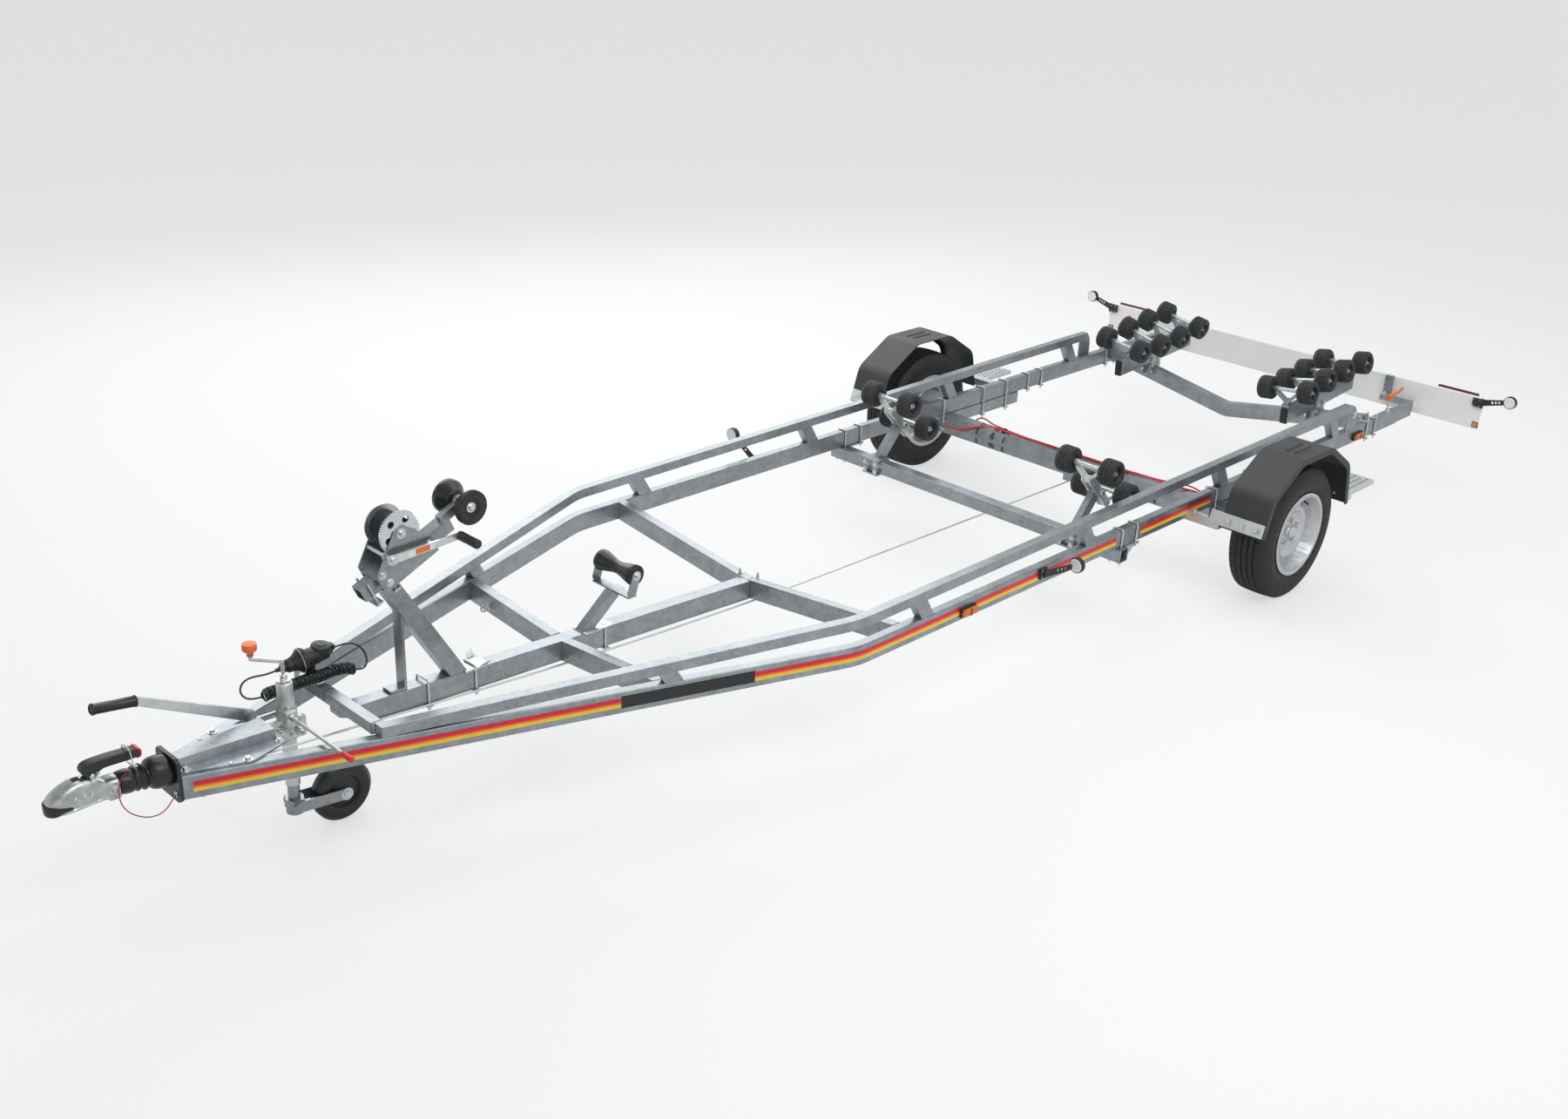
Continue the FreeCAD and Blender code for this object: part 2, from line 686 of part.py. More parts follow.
# End plate on the rail noses
end_plate_thickness = 12.0
end_plate_half = 68.0
end_plate_bottom = 369.0
end_plate_top = 521.0
end_plate_corner = 20.0
end_plate = front([(-end_plate_half, end_plate_bottom, end_plate_corner),
                   (end_plate_half, end_plate_bottom, end_plate_corner),
                   (end_plate_half, end_plate_top, end_plate_corner),
                   (-end_plate_half, end_plate_top, end_plate_corner)],
                  rail_nose, rail_nose + end_plate_thickness)
end_plate = end_plate.cut(rod(Vector(rail_nose - overrun, 0, draw_z),
                              Vector(rail_nose + end_plate_thickness + overrun, 0, draw_z),
                              draw_radius + running_fit))
nodes["rail_end_plate"] = end_plate

# Coupling head on its draw tube, which slides in the housing when the trailer overruns
bellows_room = 159.0
head_tail = rail_nose + end_plate_thickness + bellows_room
head_half = 38.0
head_top = 540.0
head_crest_back = 87.0
head_crest = nose_reach - head_crest_back
head_bottom = 434.0
head_tip_z = 479.0
head_neck_top = 492.0
head_neck_bottom = 414.0
head_round = 16.0
socket_back_from_nose = 45.0
socket_station = nose_reach - socket_back_from_nose
ball_radius = 25.0
socket_gap = 0.1
socket_depth = 36.0
draw_tail = barrel_tail + overrun_travel
tip_round = 34.0
head = side([(head_tail, head_neck_bottom), (head_tail + head_half, head_neck_bottom, head_round),
             (socket_station - head_half, head_bottom, head_round), (nose_reach, head_bottom, head_round),
             (nose_reach, head_tip_z + head_round, tip_round), (head_crest, head_top, head_round),
             (head_tail + head_half, head_neck_top + head_round, head_round), (head_tail, head_neck_top)],
            -head_half, head_half)
head_plan = plan([(head_tail, -head_half, head_round), (nose_reach, -head_half, head_half - head_round / 4),
                  (nose_reach, head_half, head_half - head_round / 4), (head_tail, head_half, head_round)],
                 head_neck_bottom - overrun, head_top + overrun)
head = head.common(head_plan)
draw_tube = rod(Vector(draw_tail, 0, draw_z), Vector(head_tail + head_half, 0, draw_z), draw_radius)
socket_radius = ball_radius + socket_gap
socket_top = head_bottom + socket_depth
socket = fused(rod(Vector(socket_station, 0, head_bottom - overrun), Vector(socket_station, 0, socket_top),
                   socket_radius),
               Part.makeSphere(socket_radius, Vector(socket_station, 0, socket_top)))
nodes["coupling_head"] = fused(head, draw_tube).cut(socket)

# Coupling handle on top of the head
handle_front_back = 105.0
handle_front = nose_reach - handle_front_back
handle_top = 578.0
handle_length = 189.0
handle_tail = handle_front - handle_length
handle_tail_z = 574.0
handle_depth = 26.0
handle_half = 17.0
handle_round = 8.0
handle_foot_length = 52.0
handle_neck = handle_front - handle_foot_length
nodes["coupling_handle"] = side(
    [(handle_front, head_top - 2 * head_round), (handle_front, handle_top - handle_round, handle_round),
     (handle_neck, handle_top + handle_round, handle_round), (handle_tail, handle_tail_z, handle_round),
     (handle_tail, handle_tail_z - handle_depth, handle_round), (handle_neck, handle_top - handle_depth),
     (handle_neck, head_top - 2 * head_round)], -handle_half, handle_half).cut(nodes["coupling_head"])

# Bellows over the draw tube
bellows_start = rail_nose + end_plate_thickness + clearance
bellows_end = head_tail - clearance
bellows_outer = 43.0
bellows_root = 33.0
bellows_fold_count = 5
bellows_points = [(draw_radius + clearance, bellows_start)]
fold = (bellows_end - bellows_start) / bellows_fold_count
for i in range(bellows_fold_count):
    start = bellows_start + i * fold
    bellows_points += [(bellows_root, start), (bellows_outer, start + fold / 3),
                       (bellows_outer, start + 2 * fold / 3)]
bellows_points += [(bellows_root, bellows_end), (draw_radius + clearance, bellows_end)]
nodes["bellows"] = lathe(bellows_points, Vector(0, 0, draw_z), Vector(1, 0, 0))

# Handbrake lever, pivoted beside the housing
lever_root_radius = 20.0
lever_reach = 359.0
lever_neck_x = lever_pivot_x + lever_reach
lever_neck_z = 673.0
lever_tip_radius = 14.0
grip_length = 133.0
grip_end_x = lever_neck_x + grip_length
grip_end_z = 692.0
grip_radius = 15.0
lever_mid_y = lever_y0 + lever_thickness / 2
lever = arm_outline(lever_pivot_x, lever_pivot_z, lever_root_radius, lever_neck_x, lever_neck_z,
                    lever_tip_radius,
                    lever_y0, lever_y0 + lever_thickness)
lever_grip = rod(Vector(lever_neck_x, lever_mid_y, lever_neck_z),
                 Vector(grip_end_x, lever_mid_y, grip_end_z),
                 grip_radius)
lever = fused(lever, lever_grip).cut(rod(Vector(lever_pivot_x, lever_y0 - overrun, lever_pivot_z),
                                         Vector(lever_pivot_x, lug_y1, lever_pivot_z),
                                         pin_radius + running_fit))
nodes["handbrake_lever"] = lever

# Jockey wheel: clamp and outer tube on the housing, inner tube, fork, wheel and crank
jockey_behind = 85.0
jockey_x = housing_tail - jockey_behind
jockey_y = -65.0
jockey_tube_radius = 24.0
jockey_inner_radius = 20.0
jockey_tube_top = 567.0
jockey_tube_bottom = 205.0
clamp_radius = 34.0
clamp_z0 = 405.0
clamp_z1 = 461.0
clamp_lug_half = 22.0
clamp_lug_reach = 60.0
clamp_lug_height = 34.0
clamp_ear = 26.0
t_lever_z = 478.0
t_lever_ahead = 10.0
t_lever_x = jockey_x + t_lever_ahead
t_lever_radius = 6.0
t_lever_end = 340.0
t_boss_radius = 10.0
outer_tube = ring(Vector(jockey_x, jockey_y, jockey_tube_bottom),
                  Vector(jockey_x, jockey_y, jockey_tube_top),
                  jockey_tube_radius, jockey_inner_radius + running_fit)
clamp_ring = rod(Vector(jockey_x, jockey_y, clamp_z0),
                 Vector(jockey_x, jockey_y, clamp_z1 + t_boss_radius * 3),
                 clamp_radius)
clamp_lug = box(jockey_x + jockey_tube_radius, housing_tail + clamp_lug_reach,
                jockey_y - clamp_lug_half / 2,
                jockey_y + clamp_lug_half / 2, clamp_z1 - clamp_lug_height, clamp_z1)
clamp_foot = box(housing_tail, housing_tail + clamp_lug_reach, jockey_y - clamp_lug_half,
                 jockey_y + clamp_lug_half,
                 clamp_z1 - cover_thickness, clamp_z1)
t_boss = rod(Vector(t_lever_x, jockey_y, t_lever_z),
             Vector(t_lever_x, jockey_y + clamp_radius + clamp_ear, t_lever_z),
             t_boss_radius)
t_lever = rod(Vector(t_lever_x, jockey_y + clamp_radius, t_lever_z),
              Vector(t_lever_x, t_lever_end, t_lever_z),
              t_lever_radius)
clamp = fused(clamp_ring, clamp_lug, clamp_foot, t_boss, t_lever)
clamp = clamp.cut(rod(Vector(jockey_x, jockey_y, clamp_z0 - overrun),
                      Vector(jockey_x, jockey_y, jockey_tube_top),
                      jockey_inner_radius + jockey_tube_radius / 8))
nodes["jockey_clamp"] = fused(clamp, outer_tube)

jockey_trail = 173.0
jockey_axle_x = jockey_x - jockey_trail
jockey_wheel_radius = 110.0
jockey_wheel_half = 30.0
jockey_axle_radius = 8.0
inner_tube_bottom = 105.0
inner_tube_top = 500.0
collar_radius = 30.0
collar_height = 46.0
fork_thickness = 6.0
fork_gap = 4.0
fork_height = 40.0
inner_foot = 8.0
inner_tube = rod(Vector(jockey_x, jockey_y, inner_tube_bottom), Vector(jockey_x, jockey_y, inner_tube_top),
                 jockey_inner_radius)
tube_foot = rod(Vector(jockey_x, jockey_y, inner_tube_bottom - inner_foot),
                Vector(jockey_x, jockey_y, inner_tube_bottom), collar_radius)
nodes["jockey_inner_tube"] = fused(inner_tube, tube_foot)
collar_z0 = inner_tube_bottom + clearance
collar = ring(Vector(jockey_x, jockey_y, collar_z0), Vector(jockey_x, jockey_y, collar_z0 + collar_height),
              collar_radius, jockey_inner_radius + running_fit)
fork_inner = jockey_wheel_half + fork_gap
fork_cheeks = []
for sign in (-1, 1):
    y0 = jockey_y + sign * (fork_inner + fork_thickness / 2) - fork_thickness / 2
    cheek = arm_outline(jockey_x, collar_z0 + collar_height / 2, fork_height / 2, jockey_axle_x,
                        jockey_wheel_radius,
                        fork_height / 2, y0, y0 + fork_thickness)
    fork_cheeks.append(cheek)
fork_bridge = box(jockey_x - fork_height / 2, jockey_x + fork_height / 2, jockey_y - fork_inner,
                  jockey_y + fork_inner, collar_z0, collar_z0 + collar_height)
fork = fused(collar, fork_bridge, *fork_cheeks)
fork = fork.cut(rod(Vector(jockey_x, jockey_y, collar_z0 - fork_height),
                    Vector(jockey_x, jockey_y, collar_z0 + 2 * fork_height),
                    jockey_inner_radius + running_fit))
jockey_pin = rod(Vector(jockey_axle_x, jockey_y - fork_inner - fork_thickness, jockey_wheel_radius),
                 Vector(jockey_axle_x, jockey_y + fork_inner + fork_thickness, jockey_wheel_radius),
                 jockey_axle_radius)
nodes["jockey_fork"] = fused(fork, jockey_pin)
jockey_rim_radius = 62.0
jockey_rim_depth = 12.0
jockey_hub_radius = 20.0
jockey_tread_round = 18.0
jh = jockey_wheel_half
jb = jockey_axle_radius + running_fit
nodes["jockey_wheel"] = lathe(
    [(jb, -jh), (jockey_hub_radius, -jh), (jockey_hub_radius, -jh + jockey_rim_depth),
     (jockey_rim_radius, -jh + jockey_rim_depth), (jockey_rim_radius, -jh),
     (jockey_wheel_radius - jockey_tread_round, -jh), (jockey_wheel_radius, -jh + jockey_tread_round),
     (jockey_wheel_radius, jh - jockey_tread_round), (jockey_wheel_radius - jockey_tread_round, jh),
     (jockey_rim_radius, jh), (jockey_rim_radius, jh - jockey_rim_depth),
     (jockey_hub_radius, jh - jockey_rim_depth), (jockey_hub_radius, jh), (jb, jh)],
    Vector(jockey_axle_x, jockey_y, jockey_wheel_radius), Vector(0, 1, 0))
crank_head_height = 26.0
crank_head_radius = 22.0
crank_rod_radius = 6.5
crank_rise = 90.0
crank_reach = 106.0
crank_arm_rise = 44.0
knob_stem = 24.0
knob_height = 30.0
knob_radius = 22.0
crank_z = jockey_tube_top + clearance
crank_top = crank_z + crank_rise
crank_start = Vector(jockey_x, jockey_y, crank_z)
crank_bend = Vector(jockey_x, jockey_y, crank_top)
crank_end = Vector(jockey_x + crank_reach, jockey_y, crank_top + crank_arm_rise)
crank_stem = crank_end + Vector(0, 0, knob_stem)
knob = lathe([(0, 0), (knob_radius / 2, 0), (knob_radius, knob_height / 2), (knob_radius, knob_height),
              (0, knob_height)],
             crank_stem, Vector(0, 0, 1))
nodes["jockey_crank"] = fused(rod(crank_start, crank_start + Vector(0, 0, crank_head_height),
                                  crank_head_radius),
                              rod(crank_start, crank_bend, crank_rod_radius),
                              Part.makeSphere(crank_rod_radius, crank_bend),
                              rod(crank_bend, crank_end, crank_rod_radius),
                              Part.makeSphere(crank_rod_radius, crank_end),
                              rod(crank_end, crank_stem + Vector(0, 0, knob_height / 2), crank_rod_radius),
                              knob)

# Winch post: leaning box tube on the centre beam, braced by an upright bar
arm_front_back = 110.0
arm_front_x = upper_nose - arm_front_back
arm_front_z = 840.0
arm_tilt = 24.9
arm_length = 385.0
arm_size = 50.0
arm_tube_wall = 3.0
arm_pocket = 70.0
post_foot_back = 460.0
post_foot_x = upper_nose - post_foot_back
post_lean = 255.0
post_top_x = post_foot_x + post_lean
post_size = 60.0
brace_ahead = 211.0
brace_x = post_foot_x + brace_ahead
brace_thickness = 10.0
brace_half = 25.0
brace_foot = 60.0
tilt_sin = math.sin(math.radians(arm_tilt))
tilt_cos = math.cos(math.radians(arm_tilt))


def on_arm(along, above):
    # Point in the middle plane, along the arm from its front end and above its axis.
    return Vector(arm_front_x + along * tilt_cos + above * tilt_sin, 0,
                  arm_front_z - along * tilt_sin + above * tilt_cos)


def tilted(shape):
    # Moves a shape made with its x along the arm and its z square to it.
    copy = turned(shape, Vector(0, 0, 0), Vector(0, 1, 0), arm_tilt)
    return moved(copy, arm_front_x, 0, arm_front_z)


def arm_underside(x):
    return arm_front_z + (arm_front_x - x) * tilt_sin / tilt_cos - arm_size / 2 / tilt_cos


def meet(p, d, level):
    # Where the line from p along d crosses a sloping level, which is a straight line over x.
    x0, x1 = p.x, p.x + d.x
    f0, f1 = p.z - level(x0), p.z + d.z - level(x1)
    share = f0 / (f0 - f1)
    return (p.x + d.x * share, p.z + d.z * share)


post_foot = Vector(post_foot_x, 0, beam_top(post_foot_x))
post_head = Vector(post_top_x, 0, arm_underside(post_top_x))
post_way = post_head - post_foot
post_across = Vector(post_way.z, 0, -post_way.x).normalize() * (post_size / 2)
post = side([meet(post_foot - post_across, post_way, beam_top),
             meet(post_foot + post_across, post_way, beam_top),
             meet(post_foot + post_across, post_way, arm_underside),
             meet(post_foot - post_across, post_way, arm_underside)], -post_size / 2, post_size / 2)


def post_front(x):
    # Height on the post's front face at station x.
    share = (x - post_foot.x - post_across.x) / post_way.x
    return post_foot.z + post_across.z + post_way.z * share


brace_top = post_front(brace_x - brace_thickness / 2)
brace = side([(brace_x - brace_thickness / 2, beam_top(brace_x)),
              (brace_x + brace_foot, beam_top(brace_x + brace_foot)),
              (brace_x + brace_foot, beam_top(brace_x + brace_foot) + brace_thickness),
              (brace_x + brace_thickness / 2, beam_top(brace_x) + brace_thickness),
              (brace_x + brace_thickness / 2, post_front(brace_x + brace_thickness / 2)),
              (brace_x - brace_thickness / 2, brace_top)], -brace_half, brace_half)
nodes["winch_post"] = fused(post, brace)

# Winch arm: square tube on the post, with the winch cheeks and the bow roller lug
drum_along = -203.0
drum_above = 123.0
gear_module = 2.65
gear_teeth = 56
pinion_teeth = 10
gear_y0 = 44.0
gear_thickness = 8.0
gear_backlash = 0.15
pinion_along = -125.0
cheek_thickness = 4.0
cheek_gap = 1.5
cheek_foot_front = -60.0
cheek_foot_back = -290.0
cheek_head_radius = 20.0
drum_axle_radius = 8.0
drum_half = 44.0
flange_radius = 70.0
core_radius = 24.0
bow_along = -455.0
bow_above = 31.0
bow_lug_half = 13.0
bow_lug_radius = 22.0
bow_axle_radius = 8.0
arm_tube = box(-arm_length, 0, -arm_size / 2, arm_size / 2, -arm_size / 2, arm_size / 2)
arm_tube = arm_tube.cut(box(-arm_pocket, overrun, -arm_size / 2 + arm_tube_wall,
                            arm_size / 2 - arm_tube_wall,
                            -arm_size / 2 + arm_tube_wall, arm_size / 2 - arm_tube_wall))
cheek_y = gear_y0 + gear_thickness + cheek_gap
pinion_reach = gear_module * (gear_teeth + pinion_teeth) / 2 + gear_backlash
pinion_above = drum_above - math.sqrt(max(pinion_reach ** 2 - (pinion_along - drum_along) ** 2, 0))
cheek_outline = [(cheek_foot_front, -arm_size / 2), (cheek_foot_front, arm_size / 2 + cheek_head_radius,
                                                     cheek_head_radius / 2),
                 (drum_along + cheek_head_radius, drum_above + cheek_head_radius, cheek_head_radius / 2),
                 (drum_along - cheek_head_radius, drum_above + cheek_head_radius, cheek_head_radius / 2),
                 (cheek_foot_back, arm_size / 2 + cheek_head_radius / 2, cheek_head_radius / 2),
                 (cheek_foot_back, -arm_size / 2)]
cheeks = []
for y0 in (-cheek_y - cheek_thickness, cheek_y):
    cheeks.append(side(cheek_outline, y0, y0 + cheek_thickness))
cheek_floor = box(cheek_foot_back, cheek_foot_front, -cheek_y - cheek_thickness, cheek_y + cheek_thickness,
                  arm_size / 2, arm_size / 2 + cheek_thickness)
drum_axle = rod(Vector(drum_along, -cheek_y - 2 * cheek_thickness, drum_above),
                Vector(drum_along, cheek_y + 2 * cheek_thickness, drum_above), drum_axle_radius)
bow_lug = fused(box(bow_along, -arm_length + arm_size / 2, -bow_lug_half, bow_lug_half,
                    bow_above - bow_lug_radius, bow_above + bow_lug_radius / 2),
                rod(Vector(bow_along, -bow_lug_half, bow_above), Vector(bow_along, bow_lug_half, bow_above),
                    bow_lug_radius))
bow_lug = bow_lug.cut(rod(Vector(bow_along, -bow_lug_half - overrun, bow_above),
                          Vector(bow_along, bow_lug_half + overrun, bow_above),
                          bow_axle_radius + running_fit))
crank_shaft_radius = 8.0
shaft_bore = rod(Vector(pinion_along, -cheek_y - 2 * cheek_thickness, pinion_above),
                 Vector(pinion_along, cheek_y + 2 * cheek_thickness, pinion_above),
                 crank_shaft_radius + running_fit)
winch_arm = fused(arm_tube, cheek_floor, drum_axle, bow_lug, *cheeks).cut(shaft_bore)
nodes["winch_arm"] = tilted(winch_arm)

# Winch drum with its gear, and the strap wound on it
tip_share = 0.8
root_share = 1.0
gear_width_shares = (2.0, 0.75)
pinion_width_shares = (1.6, 0.75)


def toothed(teeth, width_shares, centre_along, centre_above, start):
    # Spur gear in the winch's plane. Its first tooth points along the angle called start.
    pitch = gear_module * teeth / 2
    root, tip = pitch - root_share * gear_module, pitch + tip_share * gear_module
    corners = []
    for i in range(teeth):
        middle = start + 2 * math.pi * i / teeth
        root_turn = width_shares[0] * gear_module / root / 2
        tip_turn = width_shares[1] * gear_module / tip / 2
        for radius, angle in ((root, middle - root_turn), (tip, middle - tip_turn),
                              (tip, middle + tip_turn), (root, middle + root_turn)):
            corners.append((centre_along + radius * math.cos(angle),
                            centre_above + radius * math.sin(angle)))
    return side(corners, gear_y0, gear_y0 + gear_thickness)


mesh_angle = math.atan2(pinion_above - drum_above, pinion_along - drum_along)
gear_root = gear_module * (gear_teeth / 2 - root_share)
drum_bore = drum_axle_radius + running_fit
flange_thickness = 4.0
gear_hole_radius = 12.0
gear_hole_circle = 47.0
gear_hole_count = 5
drum_core = lathe([(drum_bore, -drum_half - flange_thickness),
                   (flange_radius, -drum_half - flange_thickness),
                   (flange_radius, -drum_half), (core_radius, -drum_half), (core_radius, gear_y0),
                   (gear_root, gear_y0), (gear_root, gear_y0 + gear_thickness),
                   (drum_bore, gear_y0 + gear_thickness)],
                  Vector(drum_along, 0, drum_above), Vector(0, 1, 0))
teeth_ring = toothed(gear_teeth, gear_width_shares, drum_along, drum_above, mesh_angle)
teeth_ring = teeth_ring.cut(rod(Vector(drum_along, gear_y0 - overrun, drum_above),
                                Vector(drum_along, gear_y0 + gear_thickness + overrun, drum_above),
                                gear_root - gear_module))
drum_core = fused(drum_core, teeth_ring)
holes = []
for i in range(gear_hole_count):
    angle = 2 * math.pi * i / gear_hole_count
    x = drum_along + gear_hole_circle * math.cos(angle)
    z = drum_above + gear_hole_circle * math.sin(angle)
    holes.append(rod(Vector(x, gear_y0 - overrun, z), Vector(x, gear_y0 + gear_thickness + overrun, z),
                     gear_hole_radius))
nodes["winch_drum"] = tilted(drum_core.cut(holes))
strap_wound_radius = 60.0
nodes["winch_strap"] = tilted(ring(Vector(drum_along, -drum_half + clearance, drum_above),
                                   Vector(drum_along, gear_y0 - overrun - clearance, drum_above),
                                   strap_wound_radius, core_radius + clearance))

# Winch crank with its shaft and pinion
crank_arm_y = 80.0
crank_arm_thickness = 8.0
crank_arm_length = 262.0
crank_arm_angle = 22.0
crank_arm_half = 11.0
crank_grip_length = 100.0
crank_grip_radius = 15.0
pinion = toothed(pinion_teeth, pinion_width_shares, pinion_along, pinion_above,
                 mesh_angle + math.pi + math.pi / pinion_teeth)
crank_shaft = rod(Vector(pinion_along, -cheek_y - cheek_thickness - cheek_gap, pinion_above),
                  Vector(pinion_along, crank_arm_y + crank_arm_thickness, pinion_above), crank_shaft_radius)
grip_along = pinion_along - crank_arm_length * math.cos(math.radians(crank_arm_angle))
grip_above = pinion_above - crank_arm_length * math.sin(math.radians(crank_arm_angle))
crank_arm = arm_outline(pinion_along, pinion_above, crank_arm_half + crank_arm_thickness / 2, grip_along,
                        grip_above,
                        crank_arm_half, crank_arm_y, crank_arm_y + crank_arm_thickness)
crank_grip = rod(Vector(grip_along, crank_arm_y, grip_above),
                 Vector(grip_along, crank_arm_y + crank_grip_length, grip_above), crank_grip_radius)
nodes["winch_crank"] = tilted(fused(crank_shaft, pinion, crank_arm, crank_grip))

# Bow roller: two cones on one axle, small ends together
cone_big = 60.0
cone_small = 31.0
cone_inner = 16.0
cone_outer = 72.0
cone_edge = 14.0
cone = lathe([(0, cone_inner), (cone_small, cone_inner), (cone_big, cone_outer - cone_edge),
              (cone_big, cone_outer),
              (cone_small, cone_outer), (cone_small, cone_outer - cone_edge / 2),
              (0, cone_outer - cone_edge / 2)],
             Vector(bow_along, 0, bow_above), Vector(0, 1, 0))
bow_axle = rod(Vector(bow_along, -cone_outer, bow_above), Vector(bow_along, cone_outer, bow_above),
               bow_axle_radius)
nodes["bow_roller"] = tilted(fused(cone, other_side(cone), bow_axle))

# Keel roller and its bracket on the centre beam
keel_x = 440.0
keel_z = 618.0
keel_half = 98.0
keel_end_radius = 40.0
keel_waist_radius = 24.0
keel_edge = 12.0
keel_axle_radius = 8.0
keel_post_size = 40.0
keel_lean = 166.0
keel_foot_x = keel_x + keel_lean
keel_head_drop = 62.0
keel_cheek_thickness = 5.0
keel_cheek_gap = 1.0
keel_cheek_half = 20.0
keel_cross_height = 6.0
keel_pivot = Vector(keel_x, 0, keel_z)
keel_cheek_y = keel_half + keel_cheek_gap
keel_cross_z = keel_z - keel_head_drop
keel_parts = []
for sign in (-1, 1):
    y0 = sign * (keel_cheek_y + keel_cheek_thickness / 2) - keel_cheek_thickness / 2
    keel_parts.append(arm_outline(keel_x, keel_z, keel_cheek_half, keel_x + keel_cheek_half, keel_cross_z,
                                  keel_cheek_half, y0, y0 + keel_cheek_thickness))
keel_cross = box(keel_x, keel_x + 2 * keel_cheek_half, -keel_cheek_y - keel_cheek_thickness,
                 keel_cheek_y + keel_cheek_thickness, keel_cross_z - keel_cheek_half,
                 keel_cross_z - keel_cheek_half + keel_cross_height)
keel_post_top = Vector(keel_x + keel_cheek_half, 0, keel_cross_z - keel_cheek_half)
keel_foot = Vector(keel_foot_x, 0, beam_top(keel_foot_x))
keel_way = keel_post_top - keel_foot


def keel_cross_level(x):
    return keel_cross_z - keel_cheek_half + keel_cross_height / 2


keel_across = Vector(keel_way.z, 0, -keel_way.x).normalize() * (keel_post_size / 2)
keel_post = side([meet(keel_foot - keel_across, keel_way, beam_top),
                  meet(keel_foot + keel_across, keel_way, beam_top),
                  meet(keel_foot + keel_across, keel_way, keel_cross_level),
                  meet(keel_foot - keel_across, keel_way, keel_cross_level)],
                 -keel_post_size / 2, keel_post_size / 2)
keel_bracket = fused(keel_cross, keel_post, *keel_parts)
keel_bracket = keel_bracket.cut(rod(Vector(keel_x, -2 * keel_half, keel_z),
                                    Vector(keel_x, 2 * keel_half, keel_z),
                                    keel_axle_radius + running_fit))
keel_roller = lathe([(0, -keel_half), (keel_end_radius, -keel_half),
                     (keel_end_radius, -keel_half + keel_edge),
                     (keel_waist_radius, -keel_edge), (keel_waist_radius, keel_edge),
                     (keel_end_radius, keel_half - keel_edge), (keel_end_radius, keel_half),
                     (0, keel_half)],
                    keel_pivot, Vector(0, 1, 0))
keel_axle = rod(Vector(keel_x, -keel_cheek_y - keel_cheek_thickness, keel_z),
                Vector(keel_x, keel_cheek_y + keel_cheek_thickness, keel_z), keel_axle_radius)
nodes["keel_roller"] = fused(keel_roller, keel_axle)

# Hull roller pairs: two ribbed rollers on one axle, carried by a V-shaped link
roller_radius = 60.0
roller_width = 75.0
roller_mid = 112.0
roller_edge = 9.0
roller_hollow_radius = 30.0
roller_hollow_depth = 16.0
pair_axle_radius = 9.0
hub_outer_radius = 15.0
hub_half = 50.0
hub_length = 22.0
link_height = 60.0
link_arm_thickness = 14.0
link_arm_half = 14.0
link_seat_share = 0.8
roller_in = roller_mid - roller_width / 2
roller_out = roller_mid + roller_width / 2


def roller_pair():
    # Pair about its own axle, which lies on Y through the origin.
    one = lathe([(0, roller_in), (roller_radius - roller_edge, roller_in),
                 (roller_radius, roller_in + roller_edge),
                 (roller_radius, roller_out - roller_edge), (roller_radius - roller_edge, roller_out),
                 (roller_hollow_radius, roller_out),
                 (roller_hollow_radius, roller_out - roller_hollow_depth),
                 (0, roller_out - roller_hollow_depth)], Vector(0, 0, 0), Vector(0, 1, 0))
    axle = rod(Vector(0, -roller_out + roller_hollow_depth, 0),
               Vector(0, roller_out - roller_hollow_depth, 0),
               pair_axle_radius)
    return fused(one, other_side(one), axle)


def v_link():
    # Link with its foot at the origin and the axle bore a link height above it.
    parts = []
    for sign in (-1, 1):
        foot_y = sign * link_arm_thickness / 2
        hub_y = sign * (hub_half + hub_length / 2)
        parts.append(ring(Vector(0, hub_y - hub_length / 2, link_height),
                          Vector(0, hub_y + hub_length / 2, link_height),
                          hub_outer_radius, pair_axle_radius + running_fit))
        slope = Vector(0, hub_y - foot_y, link_height - hub_outer_radius * link_seat_share)
        across = Vector(0, -slope.z, slope.y).normalize() * (link_arm_thickness / 2)
        arm = front([(foot_y + across.y, across.z), (foot_y + slope.y + across.y, slope.z + across.z),
                     (foot_y + slope.y - across.y, slope.z - across.z), (foot_y - across.y, -across.z)],
                    -link_arm_half, link_arm_half)
        parts.append(arm.cut(rod(Vector(0, -roller_out, link_height), Vector(0, roller_out, link_height),
                                 pair_axle_radius + running_fit)))
    foot = rod(Vector(-link_arm_half, 0, 0), Vector(link_arm_half, 0, 0), link_arm_thickness)
    return fused(foot, *parts)


# Front hull rollers: a rocker on each side with a pair at each end
cluster_inset = 253.0
cluster_y = knee_half_width - cluster_inset
rocker_pivot_back = 1817.5
rocker_pivot_z = 532.5
rocker_step = 72.5
rocker_bar_thickness = 8.0
rocker_bar_gap = 16.0
rocker_bar_radius = 19.0
rocker_pin_radius = 10.0
rocker_post_half = 15.0
rocker_post_depth = 50.0
rocker_post_foot_back = 1690.0
rocker_head_radius = 22.0
saddle_half = 45.0
saddle_thickness = 8.0
saddle_front_back = 1622.0
pivot_x = -rocker_pivot_back
front_pin = Vector(pivot_x + rocker_step, 0, rocker_pivot_z + rocker_step)
rear_pin = Vector(pivot_x - rocker_step, 0, rocker_pivot_z - rocker_step)
bars = []
for sign in (-1, 1):
    y0 = sign * (rocker_bar_gap + rocker_bar_thickness / 2) - rocker_bar_thickness / 2
    bars.append(arm_outline(front_pin.x, front_pin.z, rocker_bar_radius, rear_pin.x, rear_pin.z,
                            rocker_bar_radius,
                            y0, y0 + rocker_bar_thickness))
pin_reach = rocker_bar_gap + rocker_bar_thickness
